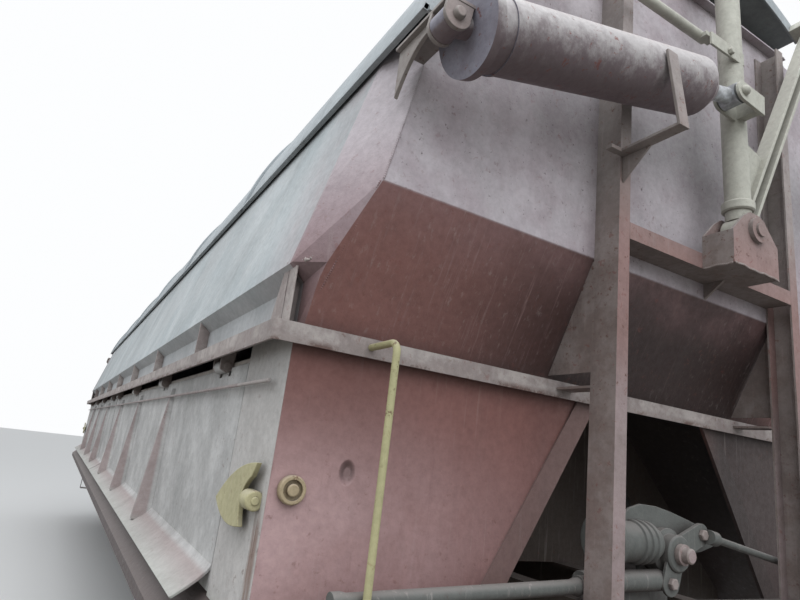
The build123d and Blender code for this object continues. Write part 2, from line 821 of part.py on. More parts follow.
def buffer():
    """One buffer at the +X end, +Y side."""
    x0 = headstock_face
    reach = buffer_length
    profile = [
        (0, 0), (170, 0), (170, 24), (112, 24), (104, 60), (100, 250), (104, 256), (104, 300), (84, 300), (84, 540),
        (130, 570), (220, 586), (225, 600), (200, 612), (70, reach), (0, reach),
    ]
    face = make_face(Polyline([Vector(r, 0, h) for r, h in profile], close=True))
    body = revolve(face, axis=Axis.Z)
    return Pos(x0, buffer_half_spacing, buffer_height) * Rot(0, 90, 0) * body


def draw_hook():
    x = headstock_face
    shank = block(x, x + 150, -32, 32, buffer_height - 40, buffer_height + 40)
    pts = [(x + 120, buffer_height - 60), (x + 250, buffer_height - 70), (x + 330, buffer_height - 20),
           (x + 335, buffer_height + 70), (x + 300, buffer_height + 90), (x + 270, buffer_height + 40),
           (x + 235, buffer_height + 10), (x + 200, buffer_height + 40), (x + 205, buffer_height + 110),
           (x + 150, buffer_height + 90), (x + 120, buffer_height + 40)]
    hook = plate_xz(pts, -28, 28)
    plate = block(x, x + 14, -120, 120, buffer_height - 110, buffer_height + 110)
    return shank + hook + plate


# Running gear

def wheelset():
    """Axle and both wheels about the Y axis, centred on the origin."""
    half_back = back_to_back / 2
    profile = [
        (0, journal_centre + 90), (journal_radius, journal_centre + 90), (journal_radius, journal_centre - 90),
        (axle_radius, journal_centre - 120), (axle_radius + 16, half_back + tread_width + 8), (135, half_back + tread_width + 8),
        (140, half_back + 96), (390, half_back + 74), (392, half_back + tread_width),
        (wheel_radius - 4, half_back + tread_width), (wheel_radius, half_back + 70), (wheel_radius + 4, half_back + 40),
        (wheel_radius + flange_height, half_back + 20), (wheel_radius + 20, half_back + 3), (wheel_radius, half_back),
        (392, half_back), (390, half_back + 46), (140, half_back + 30), (135, half_back - 30), (axle_radius + 16, half_back - 34),
        (axle_radius, half_back - 80), (axle_radius, 0), (0, 0),
    ]
    face = make_face(Polyline([Vector(r, h, 0) for r, h in profile], close=True))
    half = revolve(face, axis=Axis.Y)
    return half + mirrored_y(half)


def bogie_frame():
    """Frame of one bogie about its pivot, wheels left out."""
    half = bogie_wheelbase / 2
    reach = bogie_end_reach
    pts = [
        (-half - 310, 640), (-half - reach, 650), (-half - reach, 760), (-half - 150, 840), (-half + 330, 850),
        (-half + 420, 760), (half - 420, 760), (half - 330, 850), (half + 150, 840), (half + reach, 760),
        (half + reach, 650), (half + 310, 640),
        (half + 150, 640), (half + 150, 700), (half - 150, 700), (half - 150, 640), (half - 310, 640),
        (half - 420, 520), (-half + 420, 520), (-half + 310, 640), (-half + 150, 640), (-half + 150, 700),
        (-half - 150, 700), (-half - 150, 640),
    ]
    side = plate_xz(pts, 940, 1060)
    cross = block(-190, 190, -945, 945, 560, 800)
    cup = Pos(0, 0, 860) * Cylinder(210, 120)
    body = side + mirrored_y(side) + cross + cup
    for end in (-1, 1):
        beam = block(end * (half + reach) - 35, end * (half + reach) + 35, -1060, 1060, 655, 755)
        body = body + beam
    socket = Pos(0, 0, sill_bottom - 10) * Cylinder(150.3, 100)
    return body - socket


def axle_box():
    z = axle_height
    box = block(-130, 130, 920, 1080, z - 100, z + 100)
    bore = rod((0, 880, z), (0, journal_centre + 92, z), journal_radius + 0.1)
    cover = rod((0, 1080, z), (0, 1104, z), 96)
    wings = block(-300, 300, 940, 1060, z - 80, spring_seat)
    return (box + cover + wings) - bore


def bogie_springs():
    result = []
    for dx in (-225, 225):
        profile = [(0, 0)]
        turns = 7
        height = spring_top - spring_seat
        for i in range(turns):
            z = height * i / turns
            profile += [(52, z + 2), (62, z + height / turns / 2), (52, z + height / turns - 2)]
        profile += [(0, height)]
        face = make_face(Polyline([Vector(r, 0, z) for r, z in profile], close=True))
        result.append(Pos(dx, 1000, spring_seat) * revolve(face, axis=Axis.Z))
    return result


def main():
    save("waist_frame", waist_frame())
    right_side = side_sheet()
    save("side_sheet_right", right_side)
    save("side_sheet_left", mirrored_y(right_side))
    front_end = end_sheet()
    save("end_sheet_front", front_end)
    save("end_sheet_rear", mirrored_x(front_end))
    save("side_gussets", *side_gussets(), *four_corners(corner_post()))
    save("fixed_roof_side", fixed_quarter() + top_rail())
    save("saddle", saddle())
    save("end_panels", *four_corners(end_panel()))
    save("corner_strips", *four_corners(corner_strip()), centre_pillar(), mirrored_y(centre_pillar()))

    one_flap = flap()
    save("flap_right_front", one_flap)
    save("flap_right_rear", mirrored_x(one_flap))
    save("flap_left_front", mirrored_y(one_flap))
    save("flap_left_rear", mirrored_x(mirrored_y(one_flap)))
    lugs = []
    for lug in hinge_lugs():
        lugs += four_corners(lug)
    save("flap_hinges", *lugs)

    save("end_posts", *four_corners(end_post()))
    webs = []
    for piece in post_web():
        webs += four_corners(piece)
    save("post_webs", *webs)
    save("ledges", *both_ends(ledge()))
    save("pivot_brackets", *both_ends(pivot_bracket()))

    save("roof_shell", roof_shell())
    arm = roof_arm() + lug_on_pipe()
    save("roof_arm_front", arm)
    save("roof_arm_rear", mirrored_x(arm))
    save("cylinder_front", cylinder_barrel())
    save("cylinder_rear", mirrored_x(cylinder_barrel()))
    save("cylinder_rod_front", cylinder_rod())
    save("cylinder_rod_rear", mirrored_x(cylinder_rod()))
    save("cylinder_brackets", *both_ends(cylinder_bracket()))
    save("cylinder_hooks", *both_ends(cylinder_hook()))

    save("underframe", sill(1), sill(-1), *both_ends(headstock()))
    save("bolsters", *both_ends(bolster()))
    save("cross_bearers", *[cross_bearer(x) for x in bearer_places])
    save("platforms", *both_ends(platform()))
    save("handrails", *four_corners(handrail()))
    save("buffers", *four_corners(buffer()))
    save("draw_hooks", *both_ends(draw_hook()))

    axle = wheelset()
    frame = bogie_frame()
    box = axle_box()
    for end, name in ((1, "front"), (-1, "rear")):
        xb = end * bogie_spacing / 2
        save("bogie_frame_" + name, Pos(xb, 0, 0) * frame)
        boxes = []
        springs = []
        for side in (-1, 1):
            x = xb + side * bogie_wheelbase / 2
            number = "outer" if side == end else "inner"
            save("wheelset_" + name + "_" + number, Pos(x, 0, axle_height) * axle)
            boxes += [Pos(x, 0, 0) * box, Pos(x, 0, 0) * mirrored_y(box)]
            for spring in bogie_springs():
                springs += [Pos(x, 0, 0) * spring, Pos(x, 0, 0) * mirrored_y(spring)]
        save("axle_boxes_" + name, *boxes)
        save("bogie_springs_" + name, *springs)


main()
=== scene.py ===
"""Finishes, small pieces and camera for a self-discharging hopper wagon with a swinging arched roof.

X runs along the wagon, Y across it and Z up from the rail. The camera stands by the +X, -Y corner.
Places in the finishes are in metres. The small pieces are worked out in millimetres, as on a drawing.
"""

import json
from math import pi, radians

import bmesh
import bpy
import numpy as np
from mathutils import Matrix, Vector


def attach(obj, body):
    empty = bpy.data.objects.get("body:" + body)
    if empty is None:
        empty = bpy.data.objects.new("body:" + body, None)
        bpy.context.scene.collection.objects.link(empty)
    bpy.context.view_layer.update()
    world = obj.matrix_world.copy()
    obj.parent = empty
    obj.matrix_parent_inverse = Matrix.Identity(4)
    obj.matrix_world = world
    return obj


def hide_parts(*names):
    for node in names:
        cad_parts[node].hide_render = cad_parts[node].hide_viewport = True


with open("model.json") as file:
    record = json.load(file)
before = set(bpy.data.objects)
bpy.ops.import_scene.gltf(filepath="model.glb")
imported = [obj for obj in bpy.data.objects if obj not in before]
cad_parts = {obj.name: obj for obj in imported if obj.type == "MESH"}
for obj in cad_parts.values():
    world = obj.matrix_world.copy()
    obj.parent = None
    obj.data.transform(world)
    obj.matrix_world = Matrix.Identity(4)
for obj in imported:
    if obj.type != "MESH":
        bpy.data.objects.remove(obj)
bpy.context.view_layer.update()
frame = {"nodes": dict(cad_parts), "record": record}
scene = bpy.context.scene


# Camera, fitted to the straight lines of the body

camera_place = Vector((6.605, -1.973, 1.642))
camera_right = Vector((0.5029, 0.8565, 0.1169))
camera_up = Vector((0.1684, -0.2296, 0.9586))
focal_pixels = 582.0
picture_width = 800
sensor_width = 36.0
nearest_seen = 0.02


def add_camera():
    """The camera stands by the wagon's corner and looks up along its end and side."""
    data = bpy.data.cameras.new("camera")
    data.sensor_width = sensor_width
    data.lens = focal_pixels * sensor_width / picture_width
    data.clip_start = nearest_seen
    camera = bpy.data.objects.new("camera", data)
    scene.collection.objects.link(camera)
    right = camera_right.normalized()
    up = (camera_up - camera_up.dot(right) * right).normalized()
    back = right.cross(up)
    turn = Matrix((right, up, back)).transposed().to_4x4()
    camera.matrix_world = Matrix.Translation(camera_place) @ turn
    scene.camera = camera


# Light and floor

sky_light = (0.93, 0.96, 1.0)
sky_strength = 0.80
sky_seen = (0.98, 0.99, 1.0)
lamp_colour = (0.97, 0.98, 1.0)
lamp_watts = 1000.0
lamp_length = 16.0
lamp_width = 12.0
lamp_place = (7.0, -4.0, 9.0)
lamp_lean = (radians(-16), radians(20), 0)
floor_reach = 60.0
floor_seen = (0.70, 0.70, 0.69)
floor_thrown = (0.20, 0.19, 0.17)


def background(nodes, colour, strength):
    """A plain glow of one colour; at strength 1 a white one is seen as white."""
    node = nodes.new("ShaderNodeBackground")
    node.inputs["Color"].default_value = (*colour, 1.0)
    node.inputs["Strength"].default_value = strength
    return node


def seen_directly(nodes, links):
    """One for camera and mirror rays, nought for the light that falls on the wagon."""
    path = nodes.new("ShaderNodeLightPath")
    either = nodes.new("ShaderNodeMath")
    either.operation = "MAXIMUM"
    links.new(path.outputs["Is Camera Ray"], either.inputs[0])
    links.new(path.outputs["Is Glossy Ray"], either.inputs[1])
    return either.outputs[0]


def add_light():
    """An even pale sky, with one large soft lamp over the wagon's near corner."""
    world = bpy.data.worlds.new("overcast")
    scene.world = world
    world.use_nodes = True
    nodes = world.node_tree.nodes
    links = world.node_tree.links
    nodes.clear()
    out = nodes.new("ShaderNodeOutputWorld")
    mix = nodes.new("ShaderNodeMixShader")
    links.new(seen_directly(nodes, links), mix.inputs["Fac"])
    links.new(background(nodes, sky_light, sky_strength).outputs[0], mix.inputs[1])
    links.new(background(nodes, sky_seen, 1.0).outputs[0], mix.inputs[2])
    links.new(mix.outputs[0], out.inputs["Surface"])
    lamp = bpy.data.lights.new("overhead", "AREA")
    lamp.shape = "RECTANGLE"
    lamp.size = lamp_length
    lamp.size_y = lamp_width
    lamp.energy = lamp_watts
    lamp.color = lamp_colour
    lamp_object = bpy.data.objects.new("overhead", lamp)
    lamp_object.location = lamp_place
    lamp_object.rotation_euler = lamp_lean
    scene.collection.objects.link(lamp_object)


def add_floor():
    """A plain pale floor under the wheels, which throws only a little light back up."""
    mesh = bpy.data.meshes.new("floor")
    turns = ((-1, -1), (1, -1), (1, 1), (-1, 1))
    mesh.from_pydata([(x * floor_reach, y * floor_reach, 0) for x, y in turns], [], [(0, 1, 2, 3)])
    floor = bpy.data.objects.new("floor", mesh)
    scene.collection.objects.link(floor)
    finish = bpy.data.materials.new("pale_floor")
    finish.use_nodes = True
    nodes = finish.node_tree.nodes
    links = finish.node_tree.links
    seen = nodes["Principled BSDF"]
    seen.inputs["Base Color"].default_value = (*floor_seen, 1)
    seen.inputs["Roughness"].default_value = 0.95
    thrown = nodes.new("ShaderNodeBsdfDiffuse")
    thrown.inputs["Color"].default_value = (*floor_thrown, 1)
    mix = nodes.new("ShaderNodeMixShader")
    links.new(seen_directly(nodes, links), mix.inputs["Fac"])
    links.new(thrown.outputs[0], mix.inputs[1])
    links.new(seen.outputs[0], mix.inputs[2])
    links.new(mix.outputs[0], nodes["Material Output"].inputs["Surface"])
    mesh.materials.append(finish)


# Building blocks for finishes. A noise's scale is about its patches in each metre, and depths are in metres.

grain_depth = 0.0009
dent_depth = 0.018
corner_reach = 0.11


class Finish:
    """One weathered finish with painted shade: a shader and the textures that drive it, all on Object
    coordinates.
    """

    def __init__(self, name):
        """Starts with the plain shader, the place of each point and the way its surface faces."""
        self.material = bpy.data.materials.new(name)
        self.material.use_nodes = True
        self.nodes = self.material.node_tree.nodes
        self.links = self.material.node_tree.links
        self.shader = self.nodes["Principled BSDF"]
        coordinates = self.nodes.new("ShaderNodeTexCoord")
        self.place = coordinates.outputs["Object"]
        self.axes = self.split(self.place)
        self.facing = self.split(coordinates.outputs["Normal"])

    def split(self, vector):
        """The three parts of a place or a direction."""
        node = self.nodes.new("ShaderNodeSeparateXYZ")
        self.links.new(vector, node.inputs[0])
        return {"x": node.outputs[0], "y": node.outputs[1], "z": node.outputs[2]}

    def put(self, socket, value):
        """Gives a socket another node's result, a colour or a number."""
        if isinstance(value, bpy.types.NodeSocket):
            self.links.new(value, socket)
        elif isinstance(value, (tuple, list)) and len(value) == 3 and socket.type == "RGBA":
            socket.default_value = (*value, 1.0)
        else:
            socket.default_value = value

    def node(self, kind, inputs, **settings):
        """The results of a new node of one kind, with its settings and with what goes into its sockets."""
        made = self.nodes.new("ShaderNode" + kind)
        for name, value in settings.items():
            setattr(made, name, value)
        for name, value in inputs.items():
            self.put(made.inputs[name], value)
        return made.outputs

    def pattern_place(self, stretch, offset):
        """Object coordinates, moved and scaled; a scale below 1 draws a pattern out along that axis."""
        if stretch is None and offset is None:
            return self.place
        moves = {"Vector": self.place, "Scale": stretch or (1, 1, 1), "Location": offset or (0, 0, 0)}
        return self.node("Mapping", moves)[0]

    def noise(self, scale, detail=4.0, rough=0.55, stretch=None, offset=None, swirl=0.0):
        """Cloudy values about one half, finer with each step of detail."""
        inputs = {"Vector": self.pattern_place(stretch, offset), "Scale": scale, "Detail": detail,
                  "Roughness": rough, "Distortion": swirl}
        return self.node("TexNoise", inputs)["Fac"]

    def step(self, value, low, high, bottom=0.0, top=1.0):
        """Rises smoothly from bottom to top while the value goes from low to high."""
        inputs = {"Value": value, "From Min": low, "From Max": high, "To Min": bottom, "To Max": top}
        return self.node("MapRange", inputs, interpolation_type="SMOOTHSTEP")["Result"]

    def math(self, operation, a, b=0.0):
        """One sum on two values."""
        return self.node("Math", {0: a, 1: b}, operation=operation)[0]

    def both(self, *shares):
        """The product of several shares."""
        result = shares[0]
        for share in shares[1:]:
            result = self.math("MULTIPLY", result, share)
        return result

    def size_of(self, value):
        """The value without its sign."""
        return self.math("ABSOLUTE", value)

    def far(self, axis):
        """How far a place lies from the wagon's middle along an axis, the same at both ends or sides."""
        return self.size_of(self.axes[axis])

    def faces(self, axis):
        """How squarely a surface faces along an axis, either way."""
        return self.size_of(self.facing[axis])

    def height(self, low, high):
        """Goes smoothly from nought to one while the height above the rail goes from low to high."""
        return self.step(self.axes["z"], low, high)

    def blur(self, scale, detail=5.0, rough=0.6):
        """Soft clouds, shared by the paints so that they run on from one to the next."""
        return self.noise(scale, detail, rough, offset=(1.0, 4.0, 2.0))

    def mix(self, share, a, b, blend="MIX"):
        """Colour a, with that share of colour b laid over it."""
        return self.node("Mix", {0: share, 6: a, 7: b}, data_type="RGBA", blend_type=blend)[2]

    def corners(self, distance):
        """One in the open, falling to nought where other surfaces stand close."""
        return self.node("AmbientOcclusion", {"Distance": distance}, samples=4)["AO"]

    def bump(self, height, depth, under=None):
        """Tilts the light as if the surface rose by depth where height is one, over the bumps under it."""
        inputs = {"Height": height, "Strength": 1.0, "Distance": depth}
        if under is not None:
            inputs["Normal"] = under
        return self.node("Bump", inputs)["Normal"]

    def finish(self, colour, roughness, normal, metal=0.0):
        """Hands the four results to the shader."""
        self.put(self.shader.inputs["Base Color"], colour)
        self.put(self.shader.inputs["Roughness"], roughness)
        self.put(self.shader.inputs["Metallic"], metal)
        self.put(self.shader.inputs["Normal"], normal)
        return self.material

    def aged_and_shaded(self, paint, streaks=0.4, rust=0.3, chips=0.0, dust=0.3, grime=0.4, roughness=0.62,
             waves=0.014, dent=None):
        """Years out of doors over one paint.

        The paint's tone drifts in soft clouds and fine speckle. Thin pale streaks and broad dark runs go
        down the sheet. Rust breaks out in small spots inside loose fields, chips show the old coat, and dust
        lies on what faces up. Painted shade, with some dirt, darkens what faces down and where pieces meet.
        """
        clouds = self.noise(1.4, 5.0, 0.6)
        fine = self.noise(42.0, 5.0, 0.7)
        colour = self.mix(1.0, paint, self.step(clouds, 0.3, 0.7, 0.86, 1.08), "MULTIPLY")
        colour = self.mix(1.0, colour, self.step(fine, 0.25, 0.8, 1.06, 0.86), "MULTIPLY")
        runs = self.noise(7.0, 5.0, 0.65, stretch=(1.0, 1.0, 0.05), offset=(2.1, 0.7, 0.0))
        patches = self.noise(1.7, 3.0, 0.5, offset=(3.1, 1.7, 0.4))
        run_share = self.both(self.step(runs, 0.50, 0.74, 0.0, streaks), self.step(patches, 0.30, 0.65))
        colour = self.mix(run_share, colour, dark_dirt_and_shade)
        threads = self.noise(55.0, 4.0, 0.7, stretch=(1.0, 1.0, 0.035), offset=(0.4, 1.9, 0.0))
        thread_share = self.step(threads, 0.56, 0.72, 0.0, streaks)
        thread_share = self.both(thread_share, self.step(patches, 0.62, 0.38))
        colour = self.mix(thread_share, colour, pale_dust)
        if chips:
            flakes = self.noise(31.0, 7.0, 0.75, offset=(4.2, 0.6, 1.3), swirl=0.6)
            colour = self.mix(self.step(flakes, 0.605, 0.635, 0.0, chips), colour, old_red)
        fields = self.noise(2.3, 4.0, 0.6, offset=(7.3, 0.2, 1.2))
        spots = self.noise(46.0, 6.0, 0.72, offset=(0.3, 5.2, 2.2))
        rusty = self.both(self.step(spots, 0.59, 0.66), self.step(fields, 0.40, 0.62, 0.0, rust))
        colour = self.mix(rusty, colour, rust_brown)
        hearts = self.both(self.step(spots, 0.66, 0.72), self.step(fields, 0.44, 0.64, 0.0, rust))
        colour = self.mix(hearts, colour, rust_dark)
        upward = self.step(self.facing["z"], 0.25, 0.9)
        upward = self.both(upward, self.step(fine, 0.2, 0.6, dust * 0.6, dust))
        colour = self.mix(upward, colour, pale_dust)
        if grime:
            # Painted shade on surfaces that face down.
            below = self.step(self.facing["z"], -0.35, -0.95, 0.0, grime * 0.7)
            colour = self.mix(below, colour, dark_dirt_and_shade)
            # Painted shade, with some dirt, in corners where other surfaces stand close.
            closed = self.step(self.corners(corner_reach), 0.80, 0.30, 0.0, grime)
            closed = self.both(closed, self.step(patches, 0.2, 0.6, 0.55, 1.0))
            colour = self.mix(closed, colour, dark_dirt_and_shade)
        rough = self.step(fine, 0.2, 0.8, roughness - 0.08, roughness + 0.14)
        grain = self.math("ADD", self.noise(130.0, 4.0, 0.65), self.both(rusty, 0.9))
        dents = self.bump(self.noise(1.6, 2.0, 0.45, offset=(1.1, 2.3, 0.8)), waves)
        if dent is not None:
            dents = self.bump(dent, -dent_depth, dents)
        return self.finish(colour, rough, self.bump(grain, grain_depth, dents))


def srgb(red, green, blue):
    """A colour given from 0 to 255 as a screen shows it, as linear light."""
    values = np.array((red, green, blue), float) / 255
    linear = np.where(values <= 0.04045, values / 12.92, ((values + 0.055) / 1.055) ** 2.4)
    return tuple(float(v) for v in linear)


rust_brown = srgb(104, 62, 46)
rust_dark = srgb(58, 36, 30)
# Dark colour for dirt runs, and for painted shade below, in corners and in the dent.
dark_dirt_and_shade = srgb(74, 66, 64)
pale_dust = srgb(186, 176, 172)
old_red = srgb(126, 66, 56)


# Places on the body where one colour gives way to another, in metres

crease_z = 2.362
seam_z = 2.13
border_face_x = 5.1135
panel_inside_x = 5.09
side_end_x = 5.078
strip_start_x = 4.704
drip_x = 5.055
rib_face_y = 1.476
dent_y = -1.256
dent_z = 1.586
post_face_x = 5.28
bogie_x = 3.75
axle_from_bogie = 0.90
axle_z = 0.487
tread_radius = 0.452
tread_inner_y = 0.66
tread_outer_y = 0.83


def end_sheet_paint():
    """Pale wall over a red-brown incline, with lilac corner facets. The incline carries painted shade,
    darkest between the posts, and the wall a painted shadow under the cylinder.
    """
    f = Finish("end_paint")
    blur = f.blur(5.0)
    above = f.height(crease_z - 0.006, crease_z + 0.004)
    facet = f.step(f.faces("y"), 0.15, 0.30)
    across = f.far("y")
    # Painted shade: the incline darkens towards the posts, and most between them, where the posts and the
    # ledge shade it; some of it is dirt.
    incline = f.mix(f.step(across, 0.60, 1.25), srgb(82, 57, 54), srgb(142, 100, 94))
    incline = f.mix(f.step(across, 0.56, 0.50), incline, srgb(50, 35, 33))
    bloom = f.both(f.height(2.16, 2.36), f.step(blur, 0.35, 0.65, 0.35, 1.0))
    incline = f.mix(f.both(bloom, 0.55), incline, srgb(150, 118, 118))
    streak = f.noise(70.0, 4.0, 0.7, stretch=(0.1, 1.0, 0.03), offset=(0.0, 3.3, 0.0))
    streak = f.both(f.step(streak, 0.54, 0.74, 0.0, 0.5), f.step(across, 0.45, 0.75, 0.2, 1.0))
    incline = f.mix(streak, incline, srgb(160, 134, 132))
    wall = f.mix(f.step(blur, 0.38, 0.64), srgb(184, 173, 179), srgb(200, 193, 198))
    # Painted shadow of the cylinder across the upper wall, with some dirt.
    shade = f.both(f.height(2.60, 2.95), f.height(3.35, 3.0), 0.60)
    wall = f.mix(shade, wall, srgb(138, 136, 138))
    pits = f.noise(52.0, 6.0, 0.75, offset=(3.0, 1.0, 6.0))
    wall = f.mix(f.both(f.step(pits, 0.63, 0.67), 0.75), wall, srgb(74, 58, 58))
    upper_facet = srgb(196, 188, 193)
    lower_facet = f.mix(f.height(1.98, 2.30), srgb(136, 108, 108), srgb(160, 140, 144))
    middle = f.mix(above, incline, wall)
    corner = f.mix(f.height(2.20, 2.62), lower_facet, upper_facet)
    return f.aged_and_shaded(f.mix(facet, middle, corner), streaks=0.22, rust=0.35, chips=0.25, dust=0.2, grime=0.45)


def lower_panel_paint():
    """Dull red, dusty towards the foot, with a greyer border along the sloping edge and one round dent.

    The dent is deepest where the distance from its middle, with height counted less, is smallest.
    """
    f = Finish("lower_paint")
    blur = f.blur(2.6)
    depth = f.height(1.88, 1.42)
    outward = f.step(f.far("y"), 0.70, 1.30, 0.35, 1.0)
    dusty = f.both(depth, outward, f.step(blur, 0.25, 0.6, 0.6, 1.0))
    panel = f.mix(dusty, srgb(126, 84, 78), srgb(190, 160, 160))
    smear = f.noise(11.0, 5.0, 0.7, stretch=(1.0, 1.0, 0.16), offset=(0.7, 0.2, 0.5))
    panel = f.mix(f.step(smear, 0.55, 0.75, 0.0, 0.35), panel, srgb(92, 52, 50))
    border = f.step(f.far("x"), border_face_x - 0.002, border_face_x)
    panel = f.mix(f.both(border, 0.75), panel, srgb(120, 99, 95))
    # Painted shade on the panels of the +Y side.
    far_panel_shade = f.both(f.step(f.axes["y"], 0.20, 0.45), f.step(f.axes["y"], 1.30, 1.0), 0.9)
    panel = f.mix(far_panel_shade, panel, srgb(54, 47, 46))
    # Painted shade inside the hopper, behind the panels' faces.
    inside = f.step(f.far("x"), panel_inside_x, panel_inside_x - 0.03)
    panel = f.mix(f.both(inside, 0.9), panel, srgb(46, 40, 38))
    across = f.math("SUBTRACT", f.axes["y"], dent_y)
    up = f.math("SUBTRACT", f.axes["z"], dent_z)
    reach = f.math("SQRT", f.math("ADD", f.both(across, across), f.both(up, up, 0.5)))
    dent = f.step(reach, 0.026, 0.008)
    # Painted shade in the dent's hollow.
    panel = f.mix(f.both(dent, 0.45), panel, dark_dirt_and_shade)
    return f.aged_and_shaded(panel, streaks=0.20, rust=0.30, dust=0.25, grime=0.55, roughness=0.58, dent=dent)


def side_sheet_paint():
    """Blue-grey leaning sheet, chalky, pinker towards the corner, with painted shade under its fold."""
    f = Finish("side_paint")
    blur = f.blur(3.2)
    sheet = f.mix(f.step(blur, 0.35, 0.65), srgb(178, 187, 190), srgb(194, 200, 202))
    corner = f.step(f.far("x"), side_end_x - 0.45, side_end_x)
    corner = f.both(corner, f.step(blur, 0.3, 0.7, 0.2, 0.8))
    sheet = f.mix(corner, sheet, srgb(172, 160, 164))
    # Painted shade on the strip under the fold, which stands back from the sheet.
    shade_under_fold = f.height(seam_z + 0.02, seam_z - 0.03)
    sheet = f.mix(f.both(shade_under_fold, 0.5), sheet, srgb(178, 178, 180))
    tear = f.noise(16.0, 4.0, 0.6, stretch=(1.0, 0.3, 0.02), offset=(0.6, 0.0, 0.0))
    sheet = f.mix(f.step(tear, 0.56, 0.76, 0.0, 0.4), sheet, srgb(162, 168, 168))
    return f.aged_and_shaded(sheet, streaks=0.20, rust=0.16, dust=0.15, grime=0.35, roughness=0.60, waves=0.03)


def frame_edge_paint():
    """Grey angle round the waist, darker and browner along its foot, with brown breaking through."""
    f = Finish("frame_paint")
    blur = f.blur(9.0, 6.0, 0.7)
    paint = f.mix(f.step(blur, 0.40, 0.62), srgb(156, 145, 142), srgb(186, 178, 174))
    foot = f.height(1.925, 1.902)
    paint = f.mix(f.both(foot, f.step(blur, 0.45, 0.6)), paint, srgb(104, 82, 76))
    return f.aged_and_shaded(paint, streaks=0.30, rust=0.40, chips=0.35, dust=0.5, grime=0.45)


def post_steel_paint():
    """Grey-brown posts and brackets with paler, pinker front faces painted as lit, and spots of rust."""
    f = Finish("post_paint")
    blur = f.blur(6.0, 6.0, 0.7)
    paint = f.mix(f.step(blur, 0.40, 0.62), srgb(140, 127, 122), srgb(160, 150, 146))
    # Painted light: faces towards +X, out beyond the posts' front line, are paler and pinker.
    front = f.step(f.faces("x"), 0.85, 0.97)
    front = f.both(front, f.step(f.far("x"), post_face_x, post_face_x + 0.02))
    paint = f.mix(f.both(front, f.step(blur, 0.35, 0.6, 0.3, 0.9)), paint, srgb(164, 146, 146))
    ruddy = f.both(front, f.height(1.85, 2.10), f.height(2.85, 2.60), 0.7)
    paint = f.mix(ruddy, paint, srgb(150, 112, 106))
    high = f.height(2.35, 2.75)
    paint = f.mix(f.both(high, 0.5), paint, srgb(168, 164, 160))
    return f.aged_and_shaded(paint, streaks=0.30, rust=0.75, chips=0.45, dust=0.4, grime=0.45)


def cylinder_barrel_paint():
    """Chalky grey above and purple-brown below, as painted light and shade by the way the surface faces, with
    red flakes.
    """
    f = Finish("cylinder_paint")
    blur = f.blur(13.0, 6.0, 0.7)
    # Painted light and shade: paler where the surface faces up, darker where it faces down.
    light_from_above = f.math("ADD", f.facing["z"], f.step(blur, 0.3, 0.7, -0.35, 0.35))
    paint = f.mix(f.step(light_from_above, -0.75, 0.35), srgb(120, 106, 110), srgb(196, 192, 192))
    # Painted shade: the round ends, which face along Y, are bluish grey.
    ends = f.both(f.step(f.faces("y"), 0.75, 0.95), f.step(blur, 0.3, 0.7, 0.6, 1.0))
    paint = f.mix(ends, paint, srgb(150, 150, 166))
    return f.aged_and_shaded(paint, streaks=0.0, rust=0.55, chips=0.75, dust=0.45, grime=0.35, waves=0.002)


def flap_sheet_paint():
    """Pale grey flaps and corner strips, pinker on the ribs, with rust run down from the lock shafts."""
    f = Finish("flap_paint")
    blur = f.blur(4.0, 6.0, 0.65)
    sheet = f.mix(f.step(blur, 0.38, 0.64), srgb(178, 178, 177), srgb(206, 206, 205))
    foot = f.height(1.24, 1.16)
    rib = f.step(f.far("y"), rib_face_y, rib_face_y + 0.016)
    rib = f.both(rib, f.height(1.84, 1.80), f.math("SUBTRACT", 1.0, foot))
    sheet = f.mix(f.both(rib, 0.65), sheet, srgb(150, 126, 124))
    sheet = f.mix(f.both(foot, 0.7), sheet, srgb(176, 184, 174))
    strip = f.step(f.far("x"), strip_start_x, strip_start_x + 0.004)
    sheet = f.mix(f.both(strip, 0.5), sheet, srgb(208, 203, 199))
    reach = f.math("SUBTRACT", f.far("x"), drip_x)
    near = f.step(f.size_of(reach), 0.055, 0.015)
    drip = f.noise(26.0, 4.0, 0.6, stretch=(1.0, 1.0, 0.06), offset=(0.2, 0.1, 0.3))
    run = f.both(near, f.height(1.50, 1.40), f.step(drip, 0.40, 0.62))
    sheet = f.mix(f.both(run, 0.85), sheet, srgb(112, 74, 54))
    return f.aged_and_shaded(sheet, streaks=0.20, rust=0.40, chips=0.15, dust=0.3, grime=0.4, roughness=0.60)


def wheel_steel():
    """Rusty wheels with treads polished by the rail.

    A tread is where the surface lies far enough from its axle, faces straight away from it, and is
    between the wheels' two faces.
    """
    f = Finish("wheel_steel")
    from_bogie = f.math("SUBTRACT", f.far("x"), bogie_x)
    along = f.math("SUBTRACT", f.size_of(from_bogie), axle_from_bogie)
    up = f.math("SUBTRACT", f.axes["z"], axle_z)
    reach = f.math("SQRT", f.math("ADD", f.both(along, along), f.both(up, up)))
    across = f.far("y")
    wheels = f.both(f.step(across, tread_inner_y, tread_inner_y + 0.015),
                    f.step(across, tread_outer_y, tread_outer_y - 0.015))
    outwards = f.math("ADD", f.both(f.faces("x"), f.size_of(along)),
                      f.both(f.faces("z"), f.size_of(up)))
    outwards = f.math("DIVIDE", outwards, reach)
    tread = f.both(f.step(reach, tread_radius, tread_radius + 0.005), wheels, f.step(outwards, 0.80, 0.92))
    blur = f.noise(9.0, 6.0, 0.7)
    rusty = f.mix(f.step(blur, 0.35, 0.65), srgb(78, 60, 52), srgb(108, 84, 72))
    colour = f.mix(tread, rusty, srgb(176, 176, 178))
    grain = f.bump(f.noise(70.0, 5.0, 0.7), 0.001)
    return f.finish(colour, f.step(tread, 0.0, 1.0, 0.78, 0.28), grain, f.step(tread, 0.0, 1.0, 0.0, 0.9))


